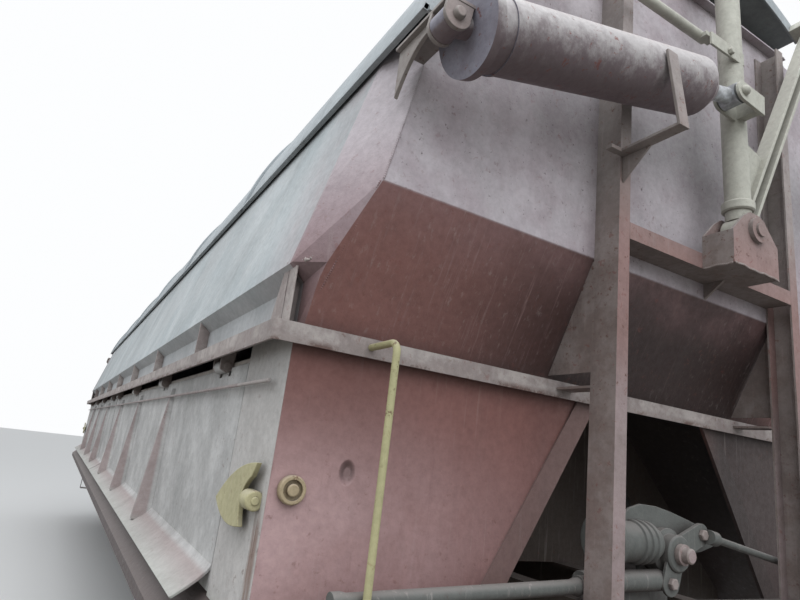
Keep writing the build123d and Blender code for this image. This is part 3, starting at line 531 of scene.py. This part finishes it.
def plain_aged_and_shaded(name, paint, **wear_and_shade):
    """One paint all over, with its own share of each kind of weathering and of painted shade."""
    return Finish(name).aged_and_shaded(srgb(*paint), **wear_and_shade)


def bright_rod():
    """Greasy steel rods under a film of dust."""
    f = Finish("rod_steel")
    film = f.noise(24.0, 6.0, 0.7, swirl=0.4)
    colour = f.mix(f.step(film, 0.38, 0.66), srgb(150, 152, 155), srgb(196, 199, 203))
    scratches = f.noise(60.0, 3.0, 0.5, stretch=(4.0, 0.15, 4.0))
    normal = f.bump(scratches, 0.0004)
    return f.finish(colour, f.step(film, 0.3, 0.7, 0.55, 0.30), normal, f.step(film, 0.40, 0.62, 0.25, 0.8))


finishes = {
    "side_paint": side_sheet_paint(),
    "end_paint": end_sheet_paint(),
    "lower_paint": lower_panel_paint(),
    "frame_paint": frame_edge_paint(),
    "post_paint": post_steel_paint(),
    "arm_paint": plain_aged_and_shaded("arm_paint", (202, 202, 190), streaks=0.25, rust=0.40, chips=0.15, waves=0.002),
    "cylinder_paint": cylinder_barrel_paint(),
    "flap_paint": flap_sheet_paint(),
    "claw_paint": plain_aged_and_shaded("claw_paint", (192, 186, 146), rust=0.80, chips=0.35, waves=0.001),
    # Painted shade: the lock gear's paint is made dark, as it lies in shadow under the saddle.
    "shaded_gear_paint": plain_aged_and_shaded("shaded_gear_paint", (102, 105, 102), rust=0.35, grime=0.7, waves=0.001),
    "rail_paint": plain_aged_and_shaded("rail_paint", (192, 188, 144), streaks=0.15, rust=0.85, chips=0.25,
                             waves=0.001),
    "roof_paint": plain_aged_and_shaded("roof_paint", (176, 184, 188), streaks=0.35, rust=0.30, waves=0.03),
    "underframe_paint": plain_aged_and_shaded("underframe_paint", (84, 74, 68), rust=0.60, grime=0.6, waves=0.003),
    "wheel_steel": wheel_steel(),
    "rod_steel": bright_rod(),
    "ring_paint": plain_aged_and_shaded("ring_paint", (176, 160, 130), rust=0.85, chips=0.5, waves=0.001),
    # Painted light: the cover strips are made very pale, so that in the shade of the gap they show grey.
    "pale_lit_cover_paint": plain_aged_and_shaded("pale_lit_cover_paint", (226, 220, 214), rust=0.3, grime=0.0, waves=0.001),
    "weld_metal": plain_aged_and_shaded("weld_metal", (172, 162, 158), rust=0.5, chips=0.3, waves=0.001),
}


def dress_nodes():
    """Every node gets the finish of its own slot; flaps and corner strips have worn down to a paler one."""
    for part in frame["record"]["subparts"]:
        name = part["node"]
        pale = name.startswith(("flap_right", "flap_left")) or name == "corner_strips"
        node = frame["nodes"][name]
        node.data.materials.clear()
        node.data.materials.append(finishes["flap_paint" if pale else part["material_slot"]])


# Small pieces: outlines and profiles carried along a line, in millimetres. A part is an array of rings, each
# with the same count of points, and each point has its x, y and z.

millimetre = 0.001
sharp_angle = radians(32)
quarter_turns = np.radians(np.arange(4) * 90 + 45)


def plate(axis, outline, low, high):
    """A flat plate: the closed outline, in the two other directions, stands at low and again at high."""
    outline = np.asarray(outline, float)
    across = [i for i in range(3) if i != axis]
    rings = np.empty((2, len(outline), 3))
    rings[:, :, across] = outline
    rings[0, :, axis] = low
    rings[1, :, axis] = high
    return rings


def block(x, y, z):
    """A box between two places along each axis."""
    return plate(2, [(x[0], y[0]), (x[1], y[0]), (x[1], y[1]), (x[0], y[1])], *z)


def spokes(aside, third, sides):
    """Unit steps round a ring: cos(a) * aside + sin(a) * third, both of them square to the ring's line."""
    angle = (np.arange(sides) * 2 * pi / sides)[:, None]
    return np.cos(angle) * aside[..., None, :] + np.sin(angle) * third[..., None, :]


def turned(start, stop, profile, sides=40):
    """Round about the line from start to stop: at each share of the way along, a ring of that radius."""
    start, stop = np.asarray(start, float), np.asarray(stop, float)
    line = stop - start
    along = line / np.linalg.norm(line)
    aside = np.cross(along, (0.0, 0.0, 1.0) if abs(along[2]) < 0.9 else (1.0, 0.0, 0.0))
    aside /= np.linalg.norm(aside)
    share, radius = np.asarray(profile, float).T[:, :, None, None]
    return start + share * line + radius * spokes(aside, np.cross(along, aside), sides)


def along_x(start, stop, place, profile, sides=40):
    """Turned about a line along the wagon, at one y and z."""
    return turned((start, *place), (stop, *place), profile, sides)


def bar(start, stop, radius, sides=32):
    """A straight round bar: the same ring at both ends."""
    return turned(start, stop, [(0, radius), (1, radius)], sides)


def bent_bar(path, radius):
    """A round bar along a bent line: each ring stands square to the mean of the runs that meet there."""
    path = np.asarray(path, float)
    runs = np.diff(path, axis=0)
    runs /= np.linalg.norm(runs, axis=1)[:, None]
    along = np.vstack([runs[:1], runs[:-1] + runs[1:], runs[-1:]])
    along /= np.linalg.norm(along, axis=1)[:, None]
    aside = np.cross(along, (0.31, 0.23, 0.92))
    aside /= np.linalg.norm(aside, axis=1)[:, None]
    return path[:, None] + radius * spokes(aside, np.cross(along, aside), 16)


def weld_bead(start, stop, radius, pitch=7.0, wobble=0.25):
    """A bead of weld: rings along a straight line whose radius swells once in each pitch, as ripples do.

    It tapers at both ends, and the line strays a little, by two slow waves of unlike length.
    """
    start, stop = np.asarray(start, float), np.asarray(stop, float)
    length = np.linalg.norm(stop - start)
    share = np.linspace(0, 1, max(8, int(length / pitch * 4)))
    phase = share * length / pitch * 2 * pi
    taper = np.clip(np.minimum(share, 1 - share) * length / radius, 0.3, 1)
    swell = radius * (1 + wobble * np.sin(phase)) * taper
    rings = turned(start, stop, np.stack([share, swell], axis=1), 8)
    stray = radius * 0.35 * (np.sin(phase / 9.0 + start[1]) + np.sin(phase / 23.0))
    rings[:, :, 2] += stray[:, None]
    return rings


def arc(centre, radius, low, high, count=40):
    """Points at one distance from a centre, from one angle to another in equal steps. Angles in degrees."""
    angle = np.radians(np.linspace(low, high, count))
    return centre + radius * np.stack([np.cos(angle), np.sin(angle)], axis=1)


def arc_outline(centre, inner, outer, low, high, count=40):
    """Part of a flat ring, as an outline: out along one arc and back along the other."""
    return np.concatenate([arc(centre, outer, low, high, count), arc(centre, inner, low, high, count)[::-1]])


def flat_link(start, stop, radius):
    """A flat bar with round ends between two points: half a circle round each."""
    start, stop = np.asarray(start, float), np.asarray(stop, float)
    heading = np.arctan2(*(stop - start)[::-1])
    angle = np.linspace(pi / 2, 3 * pi / 2, 12) + heading
    half_circle = radius * np.stack([np.cos(angle), np.sin(angle)], axis=1)
    return np.concatenate([start + half_circle, stop - half_circle])


def hex_heads(places, along, across_flats, height):
    """Bolt heads: a six-sided prism with a turned-down rim at each place, standing along one direction."""
    along = np.asarray(along, float)
    corner = across_flats / 2 / np.cos(pi / 6)
    profile = [(0, corner), (0.75, corner), (1, corner * 0.82)]
    return [turned(place, np.asarray(place) + along * height, profile, 6) for place in places]


def reflected(parts, x=1, y=1):
    """The same parts on another side of the wagon: each place times 1 or -1 along X and Y."""
    return [rings * np.array((x, y, 1.0)) for rings in parts]


def four_corners(parts):
    """The parts at every corner: both ways along X, and both ways across Y at each."""
    return [rings for x in (1, -1) for y in (1, -1) for rings in reflected(parts, x, y)]


def both_ends(parts):
    """The parts at the +X end, and again reflected at the -X end."""
    return parts + reflected(parts, x=-1)


def piece(name, parts, slot, bevel=0.0, finish=None, body="wagon_body"):
    """One object from its parts: walls between neighbouring rings, and a lid on the first and the last ring.

    A wall's corners are a point, the next one round its ring, and the same two on the next ring. The finish
    is the slot's own, unless another is named.
    """
    points, faces = [], []
    start = 0
    for rings in parts:
        count, sides = rings.shape[:2]
        index = start + np.arange(count * sides).reshape(count, sides)
        beside = np.roll(index, -1, axis=1)
        walls = np.stack([index[:-1], beside[:-1], beside[1:], index[1:]], axis=-1).reshape(-1, 4)
        faces += walls.tolist() + [index[0, ::-1].tolist(), index[-1].tolist()]
        points.append(rings.reshape(-1, 3))
        start += count * sides
    mesh = bpy.data.meshes.new(name)
    mesh.from_pydata((np.concatenate(points) * millimetre).tolist(), [], faces)
    shape = bmesh.new()
    shape.from_mesh(mesh)
    bmesh.ops.recalc_face_normals(shape, faces=shape.faces)
    shape.to_mesh(mesh)
    shape.free()
    made = bpy.data.objects.new(name, mesh)
    scene.collection.objects.link(made)
    mesh.materials.append(finishes[finish or slot])
    mesh.shade_smooth()
    mesh.set_sharp_from_angle(angle=sharp_angle)
    if bevel:
        rounding = made.modifiers.new("worn_edges", "BEVEL")
        rounding.width = bevel * millimetre
        rounding.segments = 2
        rounding.limit_method = "ANGLE"
        rounding.angle_limit = sharp_angle
    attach(made, body)
    return made


# Sizes of the wagon that the small pieces go by. A pair is y and z, unless its name says otherwise.

end_face = 5150
panel_face = 5110
strip_face = 1467
side_foot = 1456
side_half_width = 1505
frame_top = 1955
seam_height = 2130
bay = 1300
wall_face = 5296
ledge_front = 5396
floor_top = 1260
saddle_lip = (1568, 1076)
hinge = (1480, 1888)
lock_shaft_xz = (5036, 1491)
shaft_ring = (1409, 1530)
pivot = np.array((40.0, 2575.0))
arm_x = 5453
rim_radius = 1366
roof_radius = 1407
rim_outer = 1421
rim_x = 5395
cylinder_x = 5520
cylinder_foot = np.array((-1338.0, 2724.0))
cylinder_eye = np.array((-96.0, 3068.0))
headstock_face = 5650
headstock_foot = 900
sill_face = 320.3
buffer_place = (875, 1060)
bogie_centre = 3750
axle_spread = 900
axle_height = 487


def flap_parts():
    """The +X, +Y flap: upright sheet, curled foot, ribs, knuckles, and a round bar along its top.

    Across the foot y goes out from the sheet by the power 1.35 of the share of the curl. There z falls
    evenly, but stays above the saddle, on which y and z have the same sum everywhere. A rib is one section
    carried from its deep foot to its shallow top.
    """
    left, right = 32, 4702
    back = strip_face - 8
    slope = sum(saddle_lip)
    foot = slope - back + 8
    top = hinge[1] - 5
    margin, slot, slot_depth = 300, 85, 30
    knuckle_x = left + margin + np.arange(4) * (right - left - 2 * margin) / 3
    edge = [(left, foot), (left, top)]
    for x in knuckle_x:
        edge += [(x - slot, top), (x - slot, top - slot_depth), (x + slot, top - slot_depth), (x + slot, top)]
    parts = [plate(1, edge + [(right, top), (right, foot)], back, strip_face)]
    share = np.linspace(0, 1, 12)
    curl_y = back + (saddle_lip[0] - 4 - back) * share ** 1.35
    curl_z = np.maximum(foot + 70 - 90 * share, slope - curl_y + 7)
    lower = np.stack([curl_y, curl_z], axis=1)
    upper = lower + (8.5, 5.5)
    parts.append(plate(0, np.concatenate([lower, upper[::-1]]), left + 1, right - 1))
    section = np.array([(-32, -1), (32, -1), (13, 1), (-13, 1)], float)
    for rib in range(3):
        rings = np.empty((2, 4, 3))
        for ring, height, depth in zip(rings, (foot + 14, top - 34), (78, 16)):
            ring[:, 0] = right - (rib + 1) * bay - 30 + section[:, 0] * depth / 45
            ring[:, 1] = strip_face + np.maximum(section[:, 1] * depth, -1)
            ring[:, 2] = height
        parts.append(rings)
    rod_y, rod_z = strip_face + 20, hinge[1] - 82
    parts.append(bar((left + 60, rod_y, rod_z), (right + 320, rod_y, rod_z), 6))
    for x in knuckle_x:
        parts.append(bar((x - 45, *hinge), (x + 45, *hinge), 24))
        parts.append(block((x - 44, x + 44), (back + 1, strip_face - 1), (top - 34, hinge[1])))
    return parts


def add_flaps():
    """The four flaps, each on its own hinge, and the cover strips behind them."""
    flap = flap_parts()
    for side, y in (("right", 1), ("left", -1)):
        for end, x in (("front", 1), ("rear", -1)):
            body = "flap_" + side + "_" + end
            made = piece("sheet_of_" + body, reflected(flap, x, y), "lower_paint", 2.0, "flap_paint", body)
            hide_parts(body)
    # Painted light: pale cover strips fill the dark gap behind the flaps' tops.
    cover = block((20, 4705), (1446, 1453), (1842, 1903))
    piece("hinge_covers", four_corners([cover]), "frame_paint", finish="pale_lit_cover_paint")


def add_corner_supports():
    """Plates between the waist frame and the fold, with an upright angle and rough welds at each corner."""
    inner, outer = side_foot + 0.3, side_half_width - 2
    under_fold = seam_height - 8
    plate_x = np.arange(-3, 4) * bay

    def profile(reach):
        """Level below, upright at both sides, and sloping above as the fold's underside does."""
        return [(inner, frame_top), (reach, frame_top), (reach, under_fold), (inner, under_fold - 34)]

    plates = [plate(0, profile(outer), x - 4, x + 4) for x in plate_x]
    gussets = plates + reflected(plates, y=-1)
    low, high = 5046, 5106
    web = plate(0, profile(outer - 10), low, low + 6)
    face = [(low - 116, frame_top), (high, frame_top), (high, under_fold), (low - 42, under_fold)]
    posts = four_corners([web, plate(1, face, outer - 16, outer - 10)])
    made = piece("gussets_and_corner_posts", gussets + posts, "frame_paint", 1.0)
    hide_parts("side_gussets")
    fold = (low - 6, -outer + 2, seam_height + 3), (high + 34, -outer + 30, seam_height + 4)
    facet = (high + 30, -outer + 30, seam_height + 4), (high + 62, -1412, seam_height + 86)
    beads = [weld_bead(*fold, 5.5, 9.0, 0.5), weld_bead(*facet, 4.0, 8.0, 0.4)]
    y, z = -outer - 1, frame_top + 2
    beads += [weld_bead((x - 8, y, z), (x + 8, y, z), 4) for x in plate_x]
    piece("corner_welds", four_corners(reflected(beads, y=-1)), "end_paint", finish="weld_metal")


def claw_outline():
    """A crescent: a full back from the tip over to the horn, and a hollow mouth round the shaft's disc."""
    shaft = np.array(lock_shaft_xz, float)
    tip = shaft + (-320, -28)
    horn = shaft + (38, 96)
    throat = shaft + (10, 60)
    heel = shaft + (-36, -72)
    share = np.linspace(0, 1, 14)[:, None]

    def bow(a, middle, b):
        """Quadratic curve from a to b that passes through the middle point at its half."""
        handle = 2 * (shaft + middle) - (a + b) / 2
        return (1 - share) ** 2 * a + 2 * share * (1 - share) * handle + share ** 2 * b

    back = bow(tip, (-150, 62), horn)
    mouth = bow(throat, (-58, 4), heel)
    belly = bow(heel, (-190, -76), tip)
    return np.concatenate([back, mouth, belly[1:-1]])


def add_locks():
    """Claws on the corner strips with their shaft ends, and each shaft's ringed bearing in the end panel."""
    x, z = lock_shaft_xz
    y = strip_face + 16
    disc = along_x(x - 32, x + 30, (y, z), [(0, 26), (0.94, 26), (1, 23)])
    step = along_x(x + 30, x + 34, (y, z), [(0, 12), (1, 10)])
    arm = block((x - 96, x), (strip_face, y), (z - 14, z + 14))
    claw = [plate(1, claw_outline(), y, y + 14), disc, step, arm]
    rim = [(0, 37), (0.8, 37), (1, 34), (1, 26), (0.4, 25)]
    ring = along_x(panel_face, panel_face + 20, shaft_ring, rim)
    hub = along_x(panel_face, panel_face + 24, shaft_ring, [(0, 16), (0.9, 16), (1, 13)])
    piece("lock_claws", four_corners(claw), "rail_paint", 2.0, "claw_paint")
    piece("lock_shaft_rings", four_corners([ring, hub]), "rail_paint", 1.0, "ring_paint")


def add_lock_gear():
    """Under the saddle, between the panels and the posts: ridged sleeve, bell crank on its hub, and two rods.

    Sleeve, boss and rods are turned; the steps in their profiles are the ridges, shoulders and sockets.
    """
    gear_x, hub = end_face + 80, (-60.0, 1440.0)
    rod_x = gear_x + 36
    sleeve_z = hub[1] + 24
    crank_end, lug_end = (95, 1504), (-92, 1346)

    def on_sleeve(start, stop, profile, sides=48):
        """Turned about the sleeve's line, from one y to another."""
        return turned((gear_x - 20, start, sleeve_z), (gear_x - 20, stop, sleeve_z), profile, sides)

    ridges = [(0, 70), (0.56, 64), (0.58, 71), (0.64, 71), (0.66, 64), (0.72, 64), (0.74, 71),
              (0.80, 71), (0.82, 63), (0.88, 63), (0.90, 69), (0.96, 69), (1, 60)]
    sleeve = on_sleeve(-350, -150, ridges)
    cover = on_sleeve(-350, -372, [(0, 92), (0.8, 92), (1, 86)])
    nose = on_sleeve(-150, -96, [(0, 62), (0.5, 52), (1, 30)], 40)
    crank = plate(0, flat_link(hub, crank_end, 38), gear_x + 4, gear_x + 20)
    shoulders = [(0, 76), (0.55, 76), (0.62, 60), (0.95, 60), (1, 54)]
    boss = along_x(gear_x - 60, gear_x + 44, hub, shoulders, 48)
    steps = [(0, 34), (0.4, 34), (0.42, 25), (0.9, 25), (1, 20)]
    fitting = along_x(gear_x + 44, gear_x + 88, hub, steps)
    bow = [(-300, 1496), (-268, 1538), (-226, 1570), (-170, 1586), (-90, 1583), (-10, 1569), (90, 1546),
           (172, 1524), (240, 1504), (255, 1484), (232, 1460), (160, 1440), (60, 1428), (-200, 1424)]
    cheek = plate(0, bow, gear_x - 40, gear_x - 28)
    seat = [(-380, floor_top), (-110, floor_top), (-150, 1330), (-340, 1330)]
    cradle = plate(0, seat, gear_x - 40, gear_x - 28)
    lug = plate(0, flat_link(hub, lug_end, 42), gear_x + 22, gear_x + 33)
    tube = bar((gear_x - 4, -480, 1340), (gear_x - 4, -110, 1350), 34)
    foot = block((gear_x - 76, gear_x - 60), (-135, 15), (floor_top, hub[1]))
    stand = block((gear_x - 59, gear_x + 8), (-366, -350), (floor_top, sleeve_z))
    nuts = hex_heads([(gear_x + 33, *lug_end), (gear_x + 20, *crank_end)], (1, 0, 0), 34, 16)
    gear = [sleeve, cover, nose, crank, cheek, lug, tube, boss, foot, stand, cradle]
    piece("lock_gears", both_ends(gear), "post_paint", 1.5, "shaded_gear_paint")
    rods = []
    for start, stop, radius in (((-520, 1338), (-1330, 1300), 21), ((110, 1500), (1330, 1300), 13)):
        sockets = [(0, 25), (0.03, 25), (0.05, radius), (0.95, radius), (0.97, 25), (1, 25)]
        rods.append(turned((rod_x, *start), (rod_x, *stop), sockets))
    rods.append(bar((rod_x, -530, 1338), (rod_x, -500, 1339), 30))
    piece("lock_rods", both_ends(rods), "rod_steel", 1.0, "shaded_gear_paint")
    piece("lock_pins", both_ends([fitting, *nuts]), "rod_steel", 1.0, "post_paint")


def add_cylinder_feet():
    """A shelf on each body corner, with two round ears below it for the cylinder's foot, and a curved web.

    The web's lower edge climbs from the wall to the ears by the power 2.2 of the share still to go.
    """
    y, z = cylinder_foot
    low = z + 40
    near_ear, far_ear = cylinder_x - 44, cylinder_x + 32
    shelf = block((wall_face, cylinder_x + 46), (y - 34, y + 62), (low, low + 10))
    ear = np.concatenate([[(y - 34, low + 1)], arc(cylinder_foot, 40, 180, 360, 18), [(y + 46, low + 1)]])
    ears = [plate(0, ear, x, x + 12) for x in (near_ear, far_ear)]
    share = np.linspace(0, 1, 16)
    edge_x = wall_face + (near_ear - wall_face) * share
    edge_z = low - 150 * (1 - share) ** 2.2 - 30 * share
    edge = np.concatenate([np.stack([edge_x, edge_z], axis=1), [(near_ear, low + 1), (wall_face, low + 1)]])
    web = plate(1, edge, y - 20, y - 8)
    pin = along_x(cylinder_x - 58, cylinder_x + 60, cylinder_foot, [(0, 17), (0.94, 17), (1, 13)])
    parts = both_ends([shelf, *ears, web, pin])
    made = piece("cylinder_feet", parts, "post_paint", 1.5)
    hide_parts("cylinder_brackets")


def add_straps():
    """Flat bar on a gusset out from the post, bent up in front of the cylinder."""
    x, y, low, high = ledge_front, -520, 2703, 2942
    tip = x + 240
    arm = block((x, tip - 1), (y - 45, y - 1), (low, low + 10))
    gusset = plate(1, [(x, low - 93), (x, low + 1), (x + 110, low + 1)], y - 9, y - 1)
    upright = plate(0, [(y - 46, low - 1), (y, low - 1), (y - 55, high), (y - 101, high)], tip - 10, tip)
    base = block((x, x + 26), (y - 92, y - 44), (low - 3, low + 11))
    parts = both_ends([arm, gusset, upright, base])
    made = piece("cylinder_straps", parts, "post_paint", 1.5)
    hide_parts("cylinder_hooks")


def from_pin(radius, angle):
    """The place at a distance and an angle from the roof's pin: the pin plus radius * (cos, sin)."""
    turn = radians(angle)
    return pivot + radius * np.array((np.cos(turn), np.sin(turn)))


def arm_parts():
    """The roof's arm: hub, pipe with collar, channel, gusset, tie with flat bar, and ears for the rod's eye.

    Pipe and channel run straight out from the pin, and the channel is one section at two distances from it.
    The tie meets the roof's rim where a circle about the pin reaches the tie's height.
    """
    reach, lean, slant = rim_radius + 20, 91.5, 62
    hub = along_x(arm_x - 38, arm_x + 38, pivot, [(0, 59), (0.06, 62), (0.94, 62), (1, 59)], 48)
    pipe = bar((arm_x, *from_pin(50, lean)), (arm_x, *from_pin(reach, lean)), 44.5, 48)
    swell = [(0, 50), (0.15, 56.5), (0.85, 56.5), (1, 50)]
    collar = turned((arm_x, *from_pin(88, lean)), (arm_x, *from_pin(128, lean)), swell, 48)
    heading = from_pin(1, slant) - pivot
    side = np.array((heading[1], -heading[0]))
    section = [(-31, 30), (-31, -30), (31, -30), (31, 30), (17, 30), (17, -10), (-17, -10), (-17, 30)]
    offset, depth = np.array(section, float).T
    channel = np.empty((2, len(section), 3))
    channel[:, :, 0] = arm_x + depth
    for ring, distance in zip(channel, (40.0, reach)):
        ring[:, 1:] = pivot + heading * distance + side * offset[:, None]
    web = [from_pin(62, lean), from_pin(420, lean), pivot + heading * 420, pivot + heading * 62]
    gusset = plate(0, web, arm_x - 6, arm_x + 6)
    tie_z = 3336
    tie_y = pivot[0] - np.sqrt((rim_radius + 10) ** 2 - (tie_z - pivot[1]) ** 2)
    tie = bar((arm_x, tie_y, tie_z), (arm_x, -150, tie_z), 19.5)
    flat = block((arm_x + 35, arm_x + 44), (-170, 40), (tie_z - 55, tie_z))
    lap = block((arm_x, arm_x + 36), (-189, -130), (tie_z - 19, tie_z))
    nuts = hex_heads([(arm_x + 44, -55, tie_z - 36)], (1, 0, 0), 26, 16)
    z = cylinder_eye[1]
    ear = np.concatenate([arc(cylinder_eye, 38, 90, 270, 18), [(30, z - 50), (34, z + 30)]])
    ears = [plate(0, ear, x, x + 12) for x in (cylinder_x - 50, cylinder_x + 38)]
    back = block((arm_x, cylinder_x + 47), (-4.5, 29), (z - 40, z + 28))
    angle = np.linspace(0, pi / 2, 8)
    round_top = np.stack([np.sin(angle), np.maximum(20 * np.cos(angle), 2)], axis=1)
    dome = along_x(cylinder_x + 50, cylinder_x + 70, cylinder_eye, round_top)
    tie_angle = np.degrees(np.arctan2(tie_z - pivot[1], tie_y - pivot[0]))
    pads = []
    for middle, spread in ((lean, 2.6), (63.6, 1.6), (tie_angle, 1.8)):
        pad = arc_outline(pivot, rim_radius - 4, rim_outer - 10, middle - spread, middle + spread, 12)
        pads.append(plate(0, pad, rim_x, arm_x + 12))
    return [hub, pipe, collar, channel, gusset, tie, flat, lap, *nuts, *ears, back, dome, *pads]


def add_arms():
    """The two arms, which swing with the roof."""
    arm = arm_parts()
    for end, x in (("front", 1), ("rear", -1)):
        made = piece("lifting_arm_" + end, reflected(arm, x), "arm_paint", 1.5, body="roof")
        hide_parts("roof_arm_" + end)


def add_roof_trim():
    """Hoops outside the roof, a bar along both of its straight edges, and a short bar at each far corner."""
    start, stop, edge = 62, 168.5, 0.9
    inside = roof_radius - 1
    hoop = arc_outline(pivot, inside, rim_outer, start, stop, 64)
    hoops = [plate(0, hoop, x - 22, x + 22) for x in np.arange(-2, 3) * 1750]
    edges = [plate(0, arc_outline(pivot, inside, rim_outer, low, low + edge, 4), -rim_x, rim_x)
             for low in (start, stop - edge)]
    y, z = from_pin(roof_radius - 4, stop)
    corner = block((rim_x, rim_x + 8), (y - 1, y + 104), (z, z + 20))
    piece("roof_hoops", hoops + edges + both_ends([corner]), "roof_paint", 1.5, body="roof")


def add_brake_vessels():
    """Air tank and brake cylinder beside the centre sill, each turned, and held in two bands."""
    y, z = 560, 1120
    tank = [(0, 30), (0.03, 90), (0.08, 135), (0.10, 150), (0.90, 150), (0.92, 135), (0.97, 90), (1, 30)]
    cylinder = [(0, 60), (0.04, 150), (0.10, 178), (0.80, 178), (0.86, 150), (1, 40)]
    vessels = [along_x(240, 1000, (y, z), tank, 48),
               along_x(-785, -455, (y, z), cylinder, 48),
               bar((-455, y, z), (-290, y, z), 17)]
    for x, radius in ((380, 160), (860, 160), (-690, 188), (-550, 188)):
        vessels.append(bar((x - 30, y, z), (x + 30, y, z), radius, 48))
        vessels.append(block((x - 30, x + 30), (sill_face, y - 80), (z - 35, z + 35)))
    piece("brake_vessels", vessels, "underframe_paint", 2.0)


def add_steps():
    """A step under each end of the headstocks: a tread between two uprights."""
    x, y, low = headstock_face - 8, 1140, headstock_foot - 430
    step = [block((x - 180, x), (y - 160, y + 160), (low, low + 8))]
    for edge in (y - 160, y + 152):
        step.append(block((x - 115, x - 65), (edge, edge + 8), (low, headstock_foot)))
    piece("steps", four_corners(step), "underframe_paint", 1.5)


def add_end_cocks():
    """The brake pipe's two cocks under each headstock, with handle and clip."""
    x, y, z = headstock_face, 300, headstock_foot - 18
    pipe = bent_bar([(x - 260, y, z), (x + 60, y, z), (x + 96, y, z - 14), (x + 124, y, z - 62)], 17)
    cock = along_x(x + 17, x + 70, (y, z), [(0, 20), (0.2, 29), (0.8, 29), (1, 20)])
    handle = block((x + 36, x + 60), (y - 5, y + 5), (z, z + 72))
    clip = block((x - 95, x - 85), (y - 34, y + 34), (z, headstock_foot))
    parts = four_corners([pipe, cock, handle, clip])
    piece("end_cocks", parts, "underframe_paint", 1.0)


def add_bogie_brakes():
    """Brake blocks between a bogie's axles, one to each wheel, with beams, hangers and the axle boxes' bolts.

    A block is part of a flat ring about its axle, just clear of the wheel's tread.
    """
    parts = []
    for side in (1, -1):
        facing = 90 + 90 * side
        axle = np.array((axle_spread * side, axle_height), float)
        shoe = plate(1, arc_outline(axle, 471, 517, facing - 17, facing + 17), 726, 810)
        outline = [(384, 466), (384, 590), (190, 690), (190, 630), (336, 545), (336, 466)]
        hanger = plate(1, [(side * x, z) for x, z in outline], 752, 772)
        parts += [shoe, hanger] + reflected([shoe, hanger], y=-1)
        parts.append(bar((side * 352, -790, axle_height), (side * 352, 790, axle_height), 22))
    places = [(x + 72 * np.cos(a), 1104, axle_height + 72 * np.sin(a))
              for x in (-axle_spread, axle_spread) for a in quarter_turns]
    bolts = hex_heads(places, (0, 1, 0), 26, 13)
    parts += bolts + reflected(bolts, y=-1)
    for end, centre in (("front", bogie_centre), ("rear", -bogie_centre)):
        moved = [rings + (centre, 0, 0) for rings in parts]
        piece("brake_blocks_" + end, moved, "underframe_paint", body="bogie_" + end)


def add_fasteners():
    """Bolts round the buffers' bases and on the hook plates."""
    y, z = buffer_place
    buffer_bolts = [(headstock_face + 24, y + 142 * np.cos(a), z + 142 * np.sin(a)) for a in quarter_turns]
    hook_bolts = [(headstock_face + 14, y, z) for y in (-90, 90) for z in (980, 1140)]
    heads = hex_heads(buffer_bolts, (1, 0, 0), 32, 16)
    heads += reflected(heads, y=-1)
    heads += hex_heads(hook_bolts, (1, 0, 0), 28, 14)
    piece("headstock_bolts", both_ends(heads), "underframe_paint")


def add_welds():
    """Beads where plates meet: facet to wall, facet to incline, and pivot box to ledge."""
    facet = [((wall_face, 1283, 2719), (wall_face, 1355, 2362)), ((5290, 1360, 2362), (5098, 1444, 1977))]
    box = [((ledge_front + 2, -98, 2420), (ledge_front + 114, -98, 2420)),
           ((ledge_front + 116, -98, 2421), (ledge_front + 116, 178, 2421))]
    facet_beads = four_corners([weld_bead(*line, 3.2) for line in facet])
    piece("facet_welds", facet_beads, "end_paint")
    box_beads = both_ends([weld_bead(*line, 4.0) for line in box])
    piece("pivot_box_welds", box_beads, "post_paint")


add_camera()
add_light()
add_floor()
dress_nodes()
add_flaps()
add_corner_supports()
add_locks()
add_lock_gear()
add_cylinder_feet()
add_straps()
add_arms()
add_roof_trim()
add_brake_vessels()
add_steps()
add_end_cocks()
add_bogie_brakes()
add_fasteners()
add_welds()

scene.view_settings.view_transform = "Standard"
